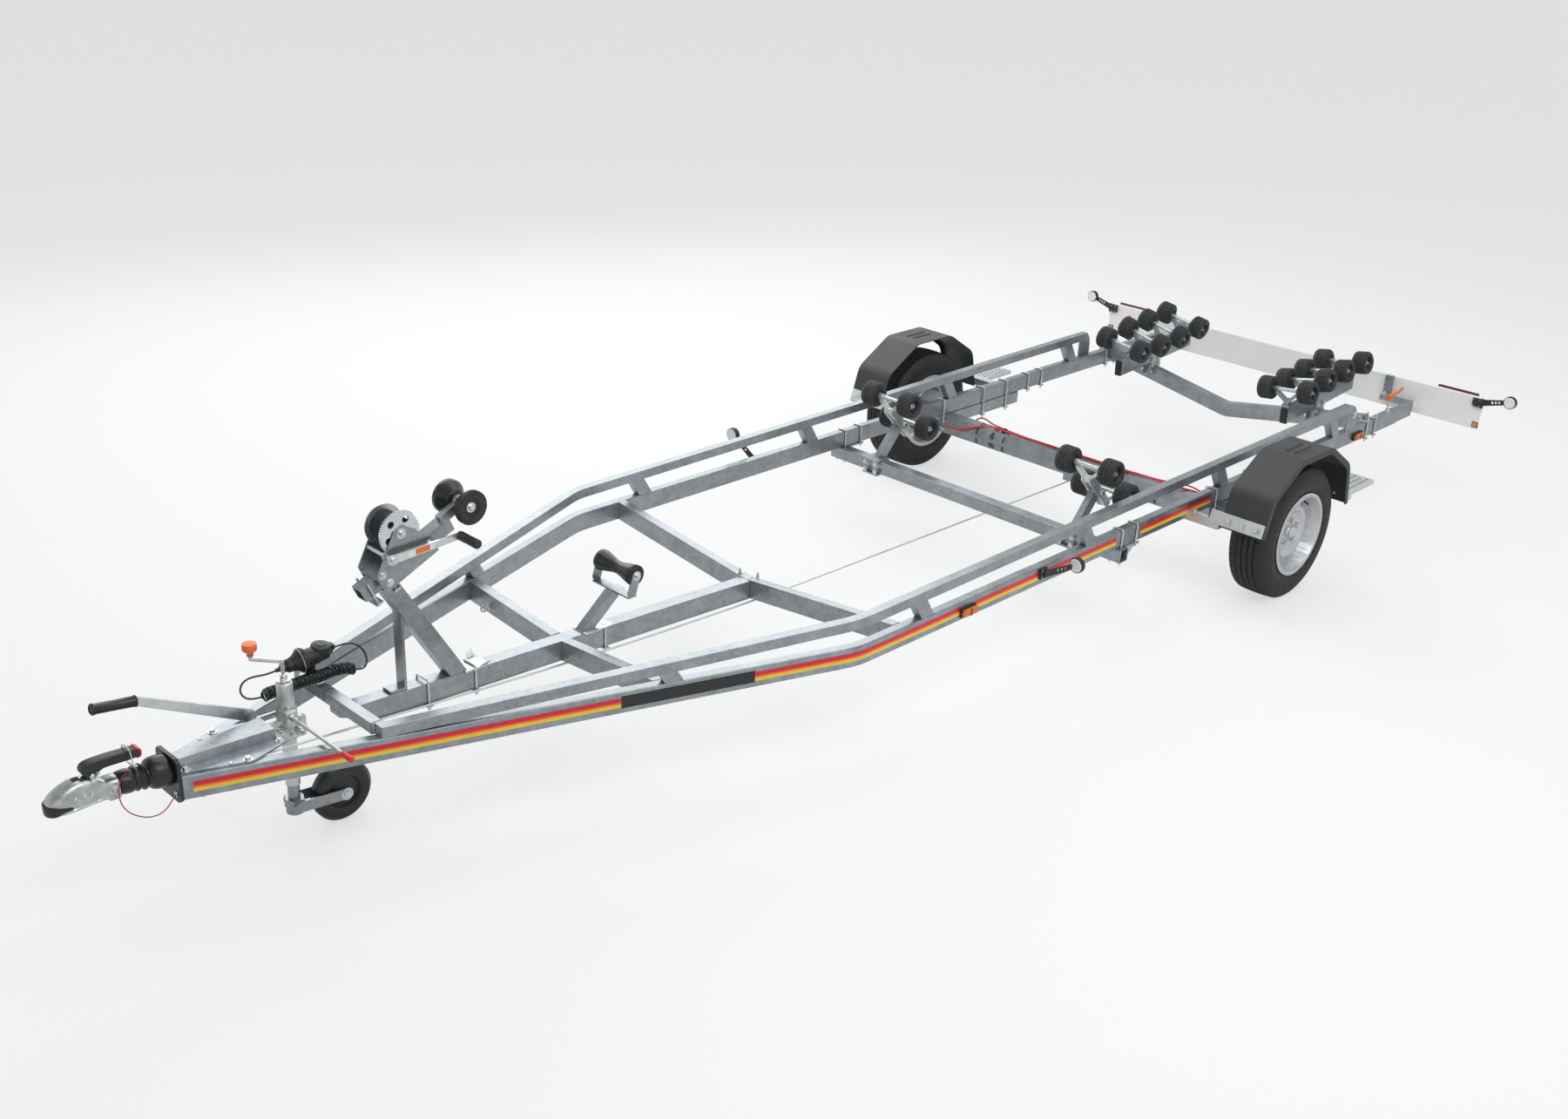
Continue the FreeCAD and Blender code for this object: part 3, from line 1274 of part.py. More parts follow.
rocker_pin = rod(Vector(pivot_x, -pin_reach - rocker_bar_thickness, rocker_pivot_z),
                 Vector(pivot_x, pin_reach + rocker_bar_thickness, rocker_pivot_z), rocker_pin_radius)
pin_hole = rod(Vector(pivot_x, -pin_reach - overrun, rocker_pivot_z),
               Vector(pivot_x, pin_reach + overrun, rocker_pivot_z), rocker_pin_radius + running_fit)
end_pins = []
for pin in (front_pin, rear_pin):
    end_pins.append(rod(pin - Vector(0, pin_reach, 0), pin + Vector(0, pin_reach, 0), link_arm_half))
rocker = fused(*(bars + end_pins + [moved(v_link(), p.x, 0, p.z) for p in (front_pin,
                                                                           rear_pin)])).cut(pin_hole)
nodes["rocker_left"] = moved(rocker, 0, cluster_y, 0)
nodes["rocker_right"] = moved(rocker, 0, -cluster_y, 0)
for name, pin in (("front", front_pin), ("rear", rear_pin)):
    pair = moved(roller_pair(), pin.x, 0, pin.z + link_height)
    nodes["rocker_rollers_" + name + "_left"] = moved(pair, 0, cluster_y, 0)
    nodes["rocker_rollers_" + name + "_right"] = moved(pair, 0, -cluster_y, 0)

member_x0 = rocker_x0
saddle = side([(member_x0 - saddle_thickness, rocker_member_top - rocker_member_height - saddle_thickness),
               (-saddle_front_back, rocker_member_top - rocker_member_height - saddle_thickness),
               (-saddle_front_back, rocker_member_top - rocker_member_height),
               (member_x0, rocker_member_top - rocker_member_height), (member_x0, rocker_member_top),
               (-saddle_front_back, rocker_member_top),
               (-saddle_front_back, rocker_member_top + saddle_thickness),
               (member_x0 - saddle_thickness, rocker_member_top + saddle_thickness)], -saddle_half,
              saddle_half)
post_low = Vector(-rocker_post_foot_back, 0, rocker_member_top + saddle_thickness / 2)
post_high = Vector(pivot_x, 0, rocker_pivot_z)
lean = post_high - post_low
lean_across = Vector(lean.z, 0, -lean.x).normalize() * (rocker_post_depth / 2)


def saddle_level(x):
    return rocker_member_top + saddle_thickness / 2


rocker_post = side([meet(post_low - lean_across, lean, saddle_level),
                    meet(post_low + lean_across, lean, saddle_level),
                    ((post_high + lean_across).x, (post_high + lean_across).z, rocker_head_radius),
                    ((post_high - lean_across).x, (post_high - lean_across).z, rocker_head_radius)],
                   -rocker_post_half, rocker_post_half)
rocker_head = rod(Vector(pivot_x, -rocker_post_half, rocker_pivot_z),
                  Vector(pivot_x, rocker_post_half, rocker_pivot_z),
                  rocker_head_radius)
rocker_stand = fused(saddle, rocker_post, rocker_head, rocker_pin)
nodes["roller_posts"] = [keel_bracket, moved(rocker_stand, 0, cluster_y, 0),
                         moved(rocker_stand, 0, -cluster_y, 0)]

# Rear hull rollers: a rising beam on each side with four pairs on fixed links
rear_beam_inset = 318.0
rear_beam_y = knee_half_width - rear_beam_inset
rear_beam_back = 3945.0
rear_beam_z = 501.0
rear_beam_length = 690.0
rear_beam_width = 40.0
rear_beam_height = 85.0
rear_beam_rise = 4.0
rear_pair_front = 327.0
rear_pair_pitch = 194.0
rear_link_foot = 32.0
rear_tilts = (6.7, 13.0, 13.0, 10.3)
rear_foot_half = 20.0
rear_names = ("first", "second", "third", "fourth")
plate_thickness = 5.0
plate_front_back = 3890.0
plate_tail_back = 3985.0
plate_bottom = 385.0
plate_top_share = 0.4


def on_rear_beam(shape):
    # Moves a shape made about the beam's own middle to its rising place on the left side.
    copy = turned(shape, Vector(0, 0, 0), Vector(0, 1, 0), rear_beam_rise)
    return moved(copy, -rear_beam_back, rear_beam_y, rear_beam_z)


beam = front([(-rear_beam_width / 2, -rear_beam_height / 2, member_corner),
              (rear_beam_width / 2, -rear_beam_height / 2, member_corner),
              (rear_beam_width / 2, rear_beam_height / 2, member_corner),
              (-rear_beam_width / 2, rear_beam_height / 2, member_corner)],
             -rear_beam_length / 2, rear_beam_length / 2)
rear_top = rear_beam_height / 2
beam_parts = [beam]
for i in range(len(rear_tilts)):
    x = rear_pair_front - i * rear_pair_pitch
    foot = box(x - rear_foot_half, x + rear_foot_half, -rear_beam_width / 2, rear_beam_width / 2,
               rear_top - member_corner, rear_top + rear_link_foot / 2)
    saddle_web = box(x - link_arm_half, x + link_arm_half, -link_arm_thickness, link_arm_thickness,
                     rear_top,
                     rear_top + rear_link_foot)
    centre = Vector(x, 0, rear_top + rear_link_foot)
    link = turned(moved(v_link(), centre.x, centre.y, centre.z), centre, Vector(1, 0, 0), rear_tilts[i])
    pair = moved(roller_pair(), centre.x, centre.y, centre.z + link_height)
    pair = on_rear_beam(turned(pair, centre, Vector(1, 0, 0), rear_tilts[i]))
    beam_parts += [foot, saddle_web, link]
    nodes["rear_rollers_" + rear_names[i] + "_left"] = pair
    nodes["rear_rollers_" + rear_names[i] + "_right"] = other_side(pair)
rear_beam = on_rear_beam(fused(*beam_parts))
plates = []
for sign in (-1, 1):
    y0 = rear_beam_y + sign * (rear_beam_width / 2 + plate_thickness / 2) - plate_thickness / 2
    plates.append(box(-plate_tail_back, -plate_front_back, y0, y0 + plate_thickness, plate_bottom,
                      rear_beam_z + rear_beam_height * plate_top_share))
rear_set = fused(rear_beam, *plates).cut(rear_member)
nodes["rear_roller_beams"] = both_sides(rear_set)

# Brake rod from the coupling to the axle, and the cables from the axle to the drums
rod_radius = 4.0
rod_gap = 2.0
rod_nose_y = 34.0
rod_nose_z = 416.0
rod_bend_x = 690.0
rod_side = 44.0
rod_bend_z = 326.0
rod_guide_back = 270.0
rod_guide_z = 284.0
rod_tail_y = 22.0
rod_tail_z = 254.0
brake_rod_points = [Vector(barrel_tail - rod_gap, rod_nose_y, rod_nose_z),
                    Vector(rod_bend_x, rod_side, rod_bend_z),
                    Vector(-rod_guide_back, rod_side, rod_guide_z),
                    Vector(axle_x + abutment_thickness / 2 + rod_gap / 2, rod_tail_y, rod_tail_z)]
nodes["brake_rod"] = cable("brake_rod", brake_rod_points, rod_radius)
route_unit = 1.0
brake_cable_radius = 4.0
brake_cable_shares = (0.04, 0.475, 0.634, 0.728, 0.842, 0.926, 0.9996)
brake_cable_route = ((0, 55), (-4, 55), (-92, 59), (-134, -29), (-158, -51), (-176, -15), (-178, -11))
brake_cable_points = [Vector(axle_x + x * route_unit, share * backing_inner, axle_z + z * route_unit)
                      for share, (x, z) in zip(brake_cable_shares, brake_cable_route)]
brake_cable = cable("brake_cable", brake_cable_points, brake_cable_radius)
nodes["brake_cables"] = both_sides(brake_cable)

# Side lamps on the rails, and marker lamps on stalks
lamp_length = 90.0
lamp_height = 34.0
lamp_depth = 26.0
lamp_z = 415.0
lamp_backs = (618.0, 3791.0)
lamp_round = 6.0
stalk_base_back = 1099.0
stalk_base_size = 46.0
stalk_base_depth = 16.0
stalk_root_radius = 12.0
stalk_tip_radius = 9.0
stalk_lens_radius = 20.0
stalk_lens_depth = 22.0
stalk_base_z = 432.0
left_tip_back = 1246.0
left_tip_out = 68.0
left_tip_z = 446.0
right_tip_back = 1013.0
right_tip_out = 72.0
right_tip_z = 560.0
stalk_root = Vector(-stalk_base_back, knee_half_width + stalk_base_depth, stalk_base_z)
stalk_tip_left = Vector(-left_tip_back, knee_half_width + left_tip_out, left_tip_z)
stalk_tip_right = Vector(-right_tip_back, knee_half_width + right_tip_out, right_tip_z)
lamp_set = []
for back in lamp_backs:
    lamp_set.append(plan([(-back - lamp_length / 2, knee_half_width),
                          (-back + lamp_length / 2, knee_half_width),
                          (-back + lamp_length / 2, knee_half_width + lamp_depth, lamp_round),
                          (-back - lamp_length / 2, knee_half_width + lamp_depth, lamp_round)],
                         lamp_z - lamp_height / 2, lamp_z + lamp_height / 2))


def stalk(root, tip):
    way = tip - root
    base = box(root.x - stalk_base_size / 2, root.x + stalk_base_size / 2, knee_half_width, root.y,
               root.z - stalk_base_size / 2, root.z + stalk_base_size / 2)
    arm = Part.makeCone(stalk_root_radius, stalk_tip_radius, way.Length, root, way)
    lens = rod(tip - Vector(stalk_lens_depth / 2, 0, 0), tip + Vector(stalk_lens_depth / 2, 0, 0),
               stalk_lens_radius)
    return fused(base, arm, lens)


stalk_left = stalk(stalk_root, stalk_tip_left)
stalk_right = other_side(stalk(stalk_root, stalk_tip_right))
nodes["side_lamps"] = lamp_set + [other_side(s) for s in lamp_set] + [stalk_left, stalk_right]

# Light board on two sliding poles
board_half_top = 1178.0
board_half_bottom = 1164.0
board_z0 = 388.0
board_z1 = 556.0
board_thickness = 4.0
board_fold = 30.0
board_lamp_inner = 800.0
board_lamp_outer = 1130.0
board_lamp_depth = 46.0
board_lamp_inset = 16.0
plate_half = 260.0
plate_height = 111.0
plate_lift = 3.0
marker_base_z = 535.0
marker_tip_y = 1322.0
marker_tip_z = 572.0
pole_size = 30.0
pole_gap = 0.5
pole_inside_length = 700.0
pole_tail_back = 4420.0
post_width = 40.0
board_post_depth = 26.0
board_post_inset = 173.0
board_post_y = knee_half_width - board_post_inset
board_x = -board_back
sheet_plate = front([(-board_half_bottom, board_z0), (board_half_bottom, board_z0),
                     (board_half_top, board_z1),
                     (-board_half_top, board_z1)], board_x - board_thickness, board_x)
top_fold = box(board_x - board_fold, board_x - board_thickness, -board_half_bottom, board_half_bottom,
               board_z1 - board_thickness, board_z1)
bottom_fold = box(board_x - board_fold, board_x - board_thickness, -board_half_bottom, board_half_bottom,
                  board_z0, board_z0 + board_thickness)
plate_z0 = (board_z0 + board_z1 - plate_height) / 2
number_plate = box(board_x - board_thickness - plate_lift, board_x - board_thickness, -plate_half,
                   plate_half,
                   plate_z0, plate_z0 + plate_height)
nodes["light_board"] = fused(sheet_plate, top_fold, bottom_fold, number_plate)
pole_y0 = knee_half_width - rail_wall - pole_gap - (rail_width - 2 * rail_wall - 2 * pole_gap)
pole_y1 = knee_half_width - rail_wall - pole_gap
pole_z0 = rail_underside + rail_wall + pole_gap
pole_z1 = rail_top - rail_wall - pole_gap
pole = box(-pole_tail_back, -rail_tail_back + pole_inside_length, pole_y0, pole_y1, pole_z0, pole_z1)
pole_bar = box(-pole_tail_back - pole_size, -pole_tail_back, board_post_y - post_width / 2, pole_y1,
               pole_z1 - pole_size, pole_z1)
upright_x1 = board_x + board_post_depth
upright = box(board_x, upright_x1, board_post_y - post_width / 2, board_post_y + post_width / 2,
              pole_z1 - pole_size, board_z1 + board_thickness)
carrier = fused(pole, pole_bar, upright)
nodes["board_carriers"] = both_sides(carrier)
board_lamp = box(board_x - board_thickness - board_lamp_depth, board_x - board_thickness, board_lamp_inner,
                 board_lamp_outer, board_z0 + board_lamp_inset, board_z1 - board_lamp_inset)
marker_base = Vector(board_x - board_thickness / 2, board_half_bottom - stalk_base_size / 2, marker_base_z)
marker_tip = Vector(board_x - board_thickness / 2, marker_tip_y, marker_tip_z)
marker_arm = Part.makeCone(stalk_root_radius, stalk_tip_radius, (marker_tip - marker_base).Length,
                           marker_base,
                           marker_tip - marker_base)
marker_lens = rod(marker_tip - Vector(stalk_lens_depth / 2, 0, 0),
                  marker_tip + Vector(stalk_lens_depth / 2, 0, 0),
                  stalk_lens_radius)
marker_base_block = box(board_x, board_x + stalk_base_depth, board_half_bottom - stalk_base_size,
                        board_half_bottom + lamp_round, board_z1 - stalk_base_size, board_z1)
marker = fused(marker_arm, marker_lens, marker_base_block).cut(nodes["light_board"])
largest = max(marker.Solids, key=lambda s: s.Volume)
nodes["board_lamps"] = both_sides(board_lamp) + both_sides(largest)

# Plug in its holder on the right rail, with its lead, curly cord and the lead to the socket
holder_y = -165.0
plug_front_back = 112.0
plug_front_z = 574.0
socket_back_back = 330.0
socket_back_z = 588.0
plug_front = Vector(housing_tail - plug_front_back, holder_y, plug_front_z)
socket_back = Vector(housing_tail - socket_back_back, holder_y, socket_back_z)
socket_length = 122.0
plug_radius = 22.0
plug_nose_radius = 12.0
plug_nose_length = 40.0
socket_body_radius = 25.0
socket_tail_radius = 14.0
socket_tail_length = 36.0
holder_plate_half = 20.0
holder_plate_thickness = 4.0
holder_arm_top = 578.0
plug_way = (plug_front - socket_back).normalize()
plug_back = socket_back + plug_way * socket_length
plug_body = fused(rod(plug_back + plug_way * clearance, plug_front - plug_way * plug_nose_length,
                      plug_radius),
                  Part.makeCone(plug_radius, plug_nose_radius, plug_nose_length,
                                plug_front - plug_way * plug_nose_length, plug_way))
nodes["plug"] = plug_body
socket_body = fused(rod(socket_back + plug_way * socket_tail_length, plug_back, socket_body_radius),
                    Part.makeCone(socket_tail_radius, socket_body_radius, socket_tail_length, socket_back,
                                  plug_way))
holder_x = (plug_back.x + socket_back.x) / 2 + holder_plate_half
holder_bottom = rail_top + front_member_height
holder_arm = box(holder_x - holder_plate_half, holder_x + holder_plate_half, holder_y - holder_plate_half,
                 holder_y - holder_plate_half + holder_plate_thickness, holder_bottom, holder_arm_top)
holder_foot = box(holder_x - holder_plate_half, holder_x + holder_plate_half, holder_y - holder_plate_half,
                  holder_y + holder_plate_half, holder_bottom, holder_bottom + holder_plate_thickness)
nodes["plug_holder"] = fused(socket_body, holder_arm, holder_foot)

lead_radius = 3.5
coil_radius = 17.0
coil_route = ((-34, -120, 63), (-108, -122, 58), (-180, -120, 62), (-252, -121, 59), (-324, -120, 63),
              (-374, -124, 45))
plug_lead_route = ((-111.5, -165, 113), (-80, -165, 111), (-46, -167, 116), (-14, -165, 119),
                   (14, -157, 113),
                   (30, -143, 95), (23, -128, 75), (-4, -119.3, 65), (-33.7, -120, 63))
socket_lead_route = ((-330.6, -165, 127), (-362, -165, 129), (-396, -166, 121), (-422, -161, 104),
                     (-436, -152, 79), (-438, -142, 53), (-424, -133, 34), (-402, -126.4, 34.5),
                     (-374.3, -124, 44.9))


def from_datum(x, rows):
    # Route points, each given as an offset from the rails' top at station x.
    return [Vector(x, 0, rail_top) + Vector(*row) * route_unit for row in rows]


coil_points = from_datum(housing_tail, coil_route)
plug_lead_points = from_datum(housing_tail, plug_lead_route)
socket_lead_points = from_datum(housing_tail, socket_lead_route)
nodes["curly_cord"] = cable("curly_cord", coil_points, coil_radius)
nodes["plug_lead"] = cable("plug_lead", plug_lead_points, lead_radius)
nodes["socket_lead"] = cable("socket_lead", socket_lead_points, lead_radius)

# Breakaway cable, hung from the rail nose to the brake linkage
breakaway_radius = 1.8
breakaway_route = ((13.6, 45, -66), (32, 52, -75), (53, 60, -91), (79, 62, -101), (111, 62, -97),
                   (141, 62, -81),
                   (167, 60, -59), (185, 56, -29), (189, 52, 7), (181, 46, 41), (159, 40, 67),
                   (129, 36, 79))
breakaway_points = from_datum(rail_nose, breakaway_route)
nodes["breakaway_cable"] = cable("breakaway_cable", breakaway_points, breakaway_radius)

# Every piece is moved so that the origin lies under the middle of the trailer's length
tail_reach = board_back + board_thickness + board_lamp_depth
shift = (tail_reach - nose_reach) / 2
for name, shape in nodes.items():
    solids = []
    for piece in (shape if isinstance(shape, list) else [shape]):
        solids += piece.Solids
    body = solids[0] if len(solids) == 1 else Part.makeCompound(solids)
    body = body.copy()
    body.translate(Vector(shift, 0, 0))
    body.exportStep(os.path.join("parts", name + ".step"))
    box_of = body.BoundBox
    print(name, len(solids), "valid" if body.isValid() else "NOT VALID", round(body.Volume / 1000) / 1000,
          [round(v) for v in (box_of.XMin, box_of.XMax, box_of.YMin, box_of.YMax, box_of.ZMin,
                              box_of.ZMax)])
print(len(nodes), "nodes, shift", shift)
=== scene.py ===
import bpy
import bmesh
import math
from mathutils import Matrix, Vector


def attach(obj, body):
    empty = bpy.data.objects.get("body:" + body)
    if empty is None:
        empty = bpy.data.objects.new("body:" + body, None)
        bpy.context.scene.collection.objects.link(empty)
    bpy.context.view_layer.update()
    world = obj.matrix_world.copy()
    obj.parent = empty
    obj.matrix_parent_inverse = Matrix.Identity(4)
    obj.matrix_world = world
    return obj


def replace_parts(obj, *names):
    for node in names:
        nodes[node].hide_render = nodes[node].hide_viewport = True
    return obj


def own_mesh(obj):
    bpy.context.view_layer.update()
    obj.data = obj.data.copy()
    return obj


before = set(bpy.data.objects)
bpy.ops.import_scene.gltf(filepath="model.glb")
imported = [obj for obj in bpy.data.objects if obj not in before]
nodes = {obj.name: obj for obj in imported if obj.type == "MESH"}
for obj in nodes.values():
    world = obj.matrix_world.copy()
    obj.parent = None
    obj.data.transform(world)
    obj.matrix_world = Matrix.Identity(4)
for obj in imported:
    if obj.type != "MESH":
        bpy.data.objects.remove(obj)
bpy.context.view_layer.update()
scene = bpy.context.scene

# Stations are millimetres ahead of the bend in the rails, as in the part's source
SHIFT = 959.5
MM = 0.001
TAU = 2 * math.pi
AHEAD, LEFT, UP = Vector((1, 0, 0)), Vector((0, 1, 0)), Vector((0, 0, 1))
SIDES = (("left", 1), ("right", -1))

# Sizes of the frame that more than one section uses
RAIL_Y, RAIL_TOP, RAIL_HALF = 808, 461, 20
ROCKER_Y, BEAM_Y = 575, 510


def P(x, y, z):
    # Point of the trailer, from millimetres in the source's own stations.
    return Vector(((x + SHIFT) * MM, y * MM, z * MM))


def D(x, y, z):
    # Offset given in millimetres.
    return Vector((x, y, z)) * MM


# Camera at the photograph's viewing angle
PHOTO_WIDTH, FOCAL_PX, SENSOR_WIDTH, CLIP_END = 1800, 1911.143, 36.0, 100
CAMERA_PLACE = P(4090.76, 4332.302, 3180.706)
AZIMUTH, ELEVATION, ROLL = (math.radians(v) for v in (133.663, 23.943, 2.549))
back = Vector((math.sin(AZIMUTH) * math.cos(ELEVATION), -math.cos(AZIMUTH) * math.cos(ELEVATION),
               math.sin(ELEVATION)))
level = Vector((math.cos(AZIMUTH), math.sin(AZIMUTH), 0))
upright = back.cross(level)
camera_data = bpy.data.cameras.new("Camera")
camera_data.sensor_width = SENSOR_WIDTH
camera_data.lens = FOCAL_PX * SENSOR_WIDTH / PHOTO_WIDTH
camera_data.clip_end = CLIP_END
camera = bpy.data.objects.new("Camera", camera_data)
scene.collection.objects.link(camera)
camera.matrix_world = Matrix.Translation(CAMERA_PLACE) @ Matrix(
    (math.cos(ROLL) * level + math.sin(ROLL) * upright, -math.sin(ROLL) * level + math.cos(ROLL) * upright,
     back)).transposed().to_4x4()
scene.camera = camera
scene.view_settings.view_transform = "Standard"


# Shader node helpers
def cleared(owner):
    owner.use_nodes = True
    owner.node_tree.nodes.clear()
    return owner.node_tree


def add_node(tree, kind, values=None, **settings):
    # Node with its settings and the values of its inputs, by name or place.
    made = tree.nodes.new("ShaderNode" + kind)
    for key, value in settings.items():
        setattr(made, key, value)
    for key, value in (values or {}).items():
        made.inputs[key].default_value = value
    return made


def add_ramp(tree, *stops):
    # Colour ramp with two stops of (position, colour).
    made = add_node(tree, "ValToRGB")
    for element, (position, color) in zip(made.color_ramp.elements, stops):
        element.position = position
        element.color = (*color, 1)
    return made


def join(tree, *links):
    for source, target in links:
        tree.links.new(source, target)


# World: soft light from above, and a white backdrop for the camera, reflections and glass
def build_world():
    world = bpy.data.worlds.new("Studio")
    scene.world = world
    t = cleared(world)
    out, mix, path = (add_node(t, kind) for kind in ("OutputWorld", "MixShader", "LightPath"))
    light = add_node(t, "Background", {"Strength": 0.45})
    seen = add_node(t, "Background", {"Strength": 1.0})
    glossy, clear = (add_node(t, "Math", operation="MAXIMUM") for _ in range(2))
    backdrop = add_ramp(t, (0.5, (1, 1, 1)), (0.85, (0.42, 0.44, 0.46)))
    sky = add_ramp(t, (0.42, (0.16, 0.17, 0.18)), (0.62, (0.92, 0.94, 0.97)))
    coords, split = add_node(t, "TexCoord"), add_node(t, "SeparateXYZ")
    height = add_node(t, "MapRange", {"From Min": -1})
    join(t, (coords.outputs["Generated"], split.inputs[0]), (split.outputs["Z"], height.inputs["Value"]),
         (height.outputs[0], sky.inputs[0]), (sky.outputs[0], light.inputs["Color"]),
         (height.outputs[0], backdrop.inputs[0]), (backdrop.outputs[0], seen.inputs["Color"]),
         (path.outputs["Is Camera Ray"], glossy.inputs[0]), (path.outputs["Is Glossy Ray"], glossy.inputs[1]),
         (glossy.outputs[0], clear.inputs[0]), (path.outputs["Is Transmission Ray"], clear.inputs[1]),
         (clear.outputs[0], mix.inputs[0]), (light.outputs[0], mix.inputs[1]),
         (seen.outputs[0], mix.inputs[2]), (mix.outputs[0], out.inputs[0]))


build_world()


# Lamps: name, place, aim, size and power
LAMPS = (("KeyLamp", (1.5, 4.5, 5.5), (0, 0, 0.3), (5.0, 3.0), 165),
         ("TopLamp", (-1.0, -0.5, 6.0), (-0.5, 0, 0.3), (8.0, 4.0), 170),
         ("FarLamp", (-2.0, -5.0, 4.0), (0, 0, 0.4), (7.0, 3.5), 190))
for name, place, aim, size, power in LAMPS:
    data = bpy.data.lights.new(name, "AREA")
    data.shape = "RECTANGLE"
    data.size, data.size_y = size
    data.energy = power
    o = bpy.data.objects.new(name, data)
    scene.collection.objects.link(o)
    o.location = place
    o.rotation_euler = (Vector(aim) - Vector(place)).to_track_quat("-Z", "Y").to_euler()

# Materials: two shades mixed by noise or by spangle cells, with a fine bump
PATTERN_LOW, PATTERN_HIGH = 0.3, 0.7
SPANGLE_SCALE, SPANGLE_BEND_SCALE, SPANGLE_BEND, SPANGLE_SHARE = 70, 60, 0.02, 0.22
COAT_ROUGHNESS, BUMP_DEPTH = 0.12, 0.001


def spangle(t, mapping, noise):
    # Crystals of the zinc: cells with slightly bent edges, mixed into the noise.
    cells = add_node(t, "TexVoronoi", {"Scale": SPANGLE_SCALE})
    bend = add_node(t, "TexNoise", {"Scale": SPANGLE_BEND_SCALE})
    bent = add_node(t, "Mix", data_type="VECTOR")
    bent.inputs["Factor"].default_value = SPANGLE_BEND
    gray = add_node(t, "SeparateColor")
    both = add_node(t, "Mix", data_type="FLOAT")
    both.inputs["Factor"].default_value = SPANGLE_SHARE
    join(t, (mapping.outputs[0], bent.inputs["A"]), (bend.outputs["Color"], bent.inputs["B"]),
         (mapping.outputs[0], bend.inputs["Vector"]), (bent.outputs["Result"], cells.inputs["Vector"]),
         (cells.outputs["Color"], gray.inputs[0]), (noise.outputs["Fac"], both.inputs["A"]),
         (gray.outputs["Red"], both.inputs["B"]))
    return both.outputs["Result"]


def material(name, color, roughness, metallic, variation, scale, bump, bump_scale, rough_variation,
             pattern="noise", coat=0.0, stretch=(1, 1, 1)):
    m = bpy.data.materials.new(name)
    m.use_nodes = True
    t = m.node_tree
    p = t.nodes["Principled BSDF"]
    p.inputs["Metallic"].default_value = metallic
    p.inputs["Roughness"].default_value = roughness
    if coat:
        p.inputs["Coat Weight"].default_value = coat
        p.inputs["Coat Roughness"].default_value = COAT_ROUGHNESS
    coords, mapping = add_node(t, "TexCoord"), add_node(t, "Mapping", {"Scale": stretch})
    noise = add_node(t, "TexNoise", {"Scale": scale, "Detail": 5})
    join(t, (coords.outputs["Object"], mapping.inputs[0]), (mapping.outputs[0], noise.inputs["Vector"]))
    driver = spangle(t, mapping, noise) if pattern == "spangle" else noise.outputs["Fac"]
    low, high = Vector(color) * (1 - variation), Vector(color) * (1 + variation)
    ramp = add_ramp(t, (PATTERN_LOW, low), (PATTERN_HIGH, [min(1, c) for c in high]))
    rough = add_node(t, "MapRange", {"From Min": PATTERN_LOW, "From Max": PATTERN_HIGH,
                                     "To Min": roughness - rough_variation,
                                     "To Max": roughness + rough_variation})
    grain = add_node(t, "TexNoise", {"Scale": bump_scale, "Detail": 3})
    relief = add_node(t, "Bump", {"Strength": bump, "Distance": BUMP_DEPTH})
    join(t, (driver, ramp.inputs[0]), (ramp.outputs[0], p.inputs["Base Color"]),
         (driver, rough.inputs["Value"]), (rough.outputs[0], p.inputs["Roughness"]),
         (coords.outputs["Object"], grain.inputs["Vector"]), (grain.outputs["Fac"], relief.inputs["Height"]),
         (relief.outputs[0], p.inputs["Normal"]))
    return m


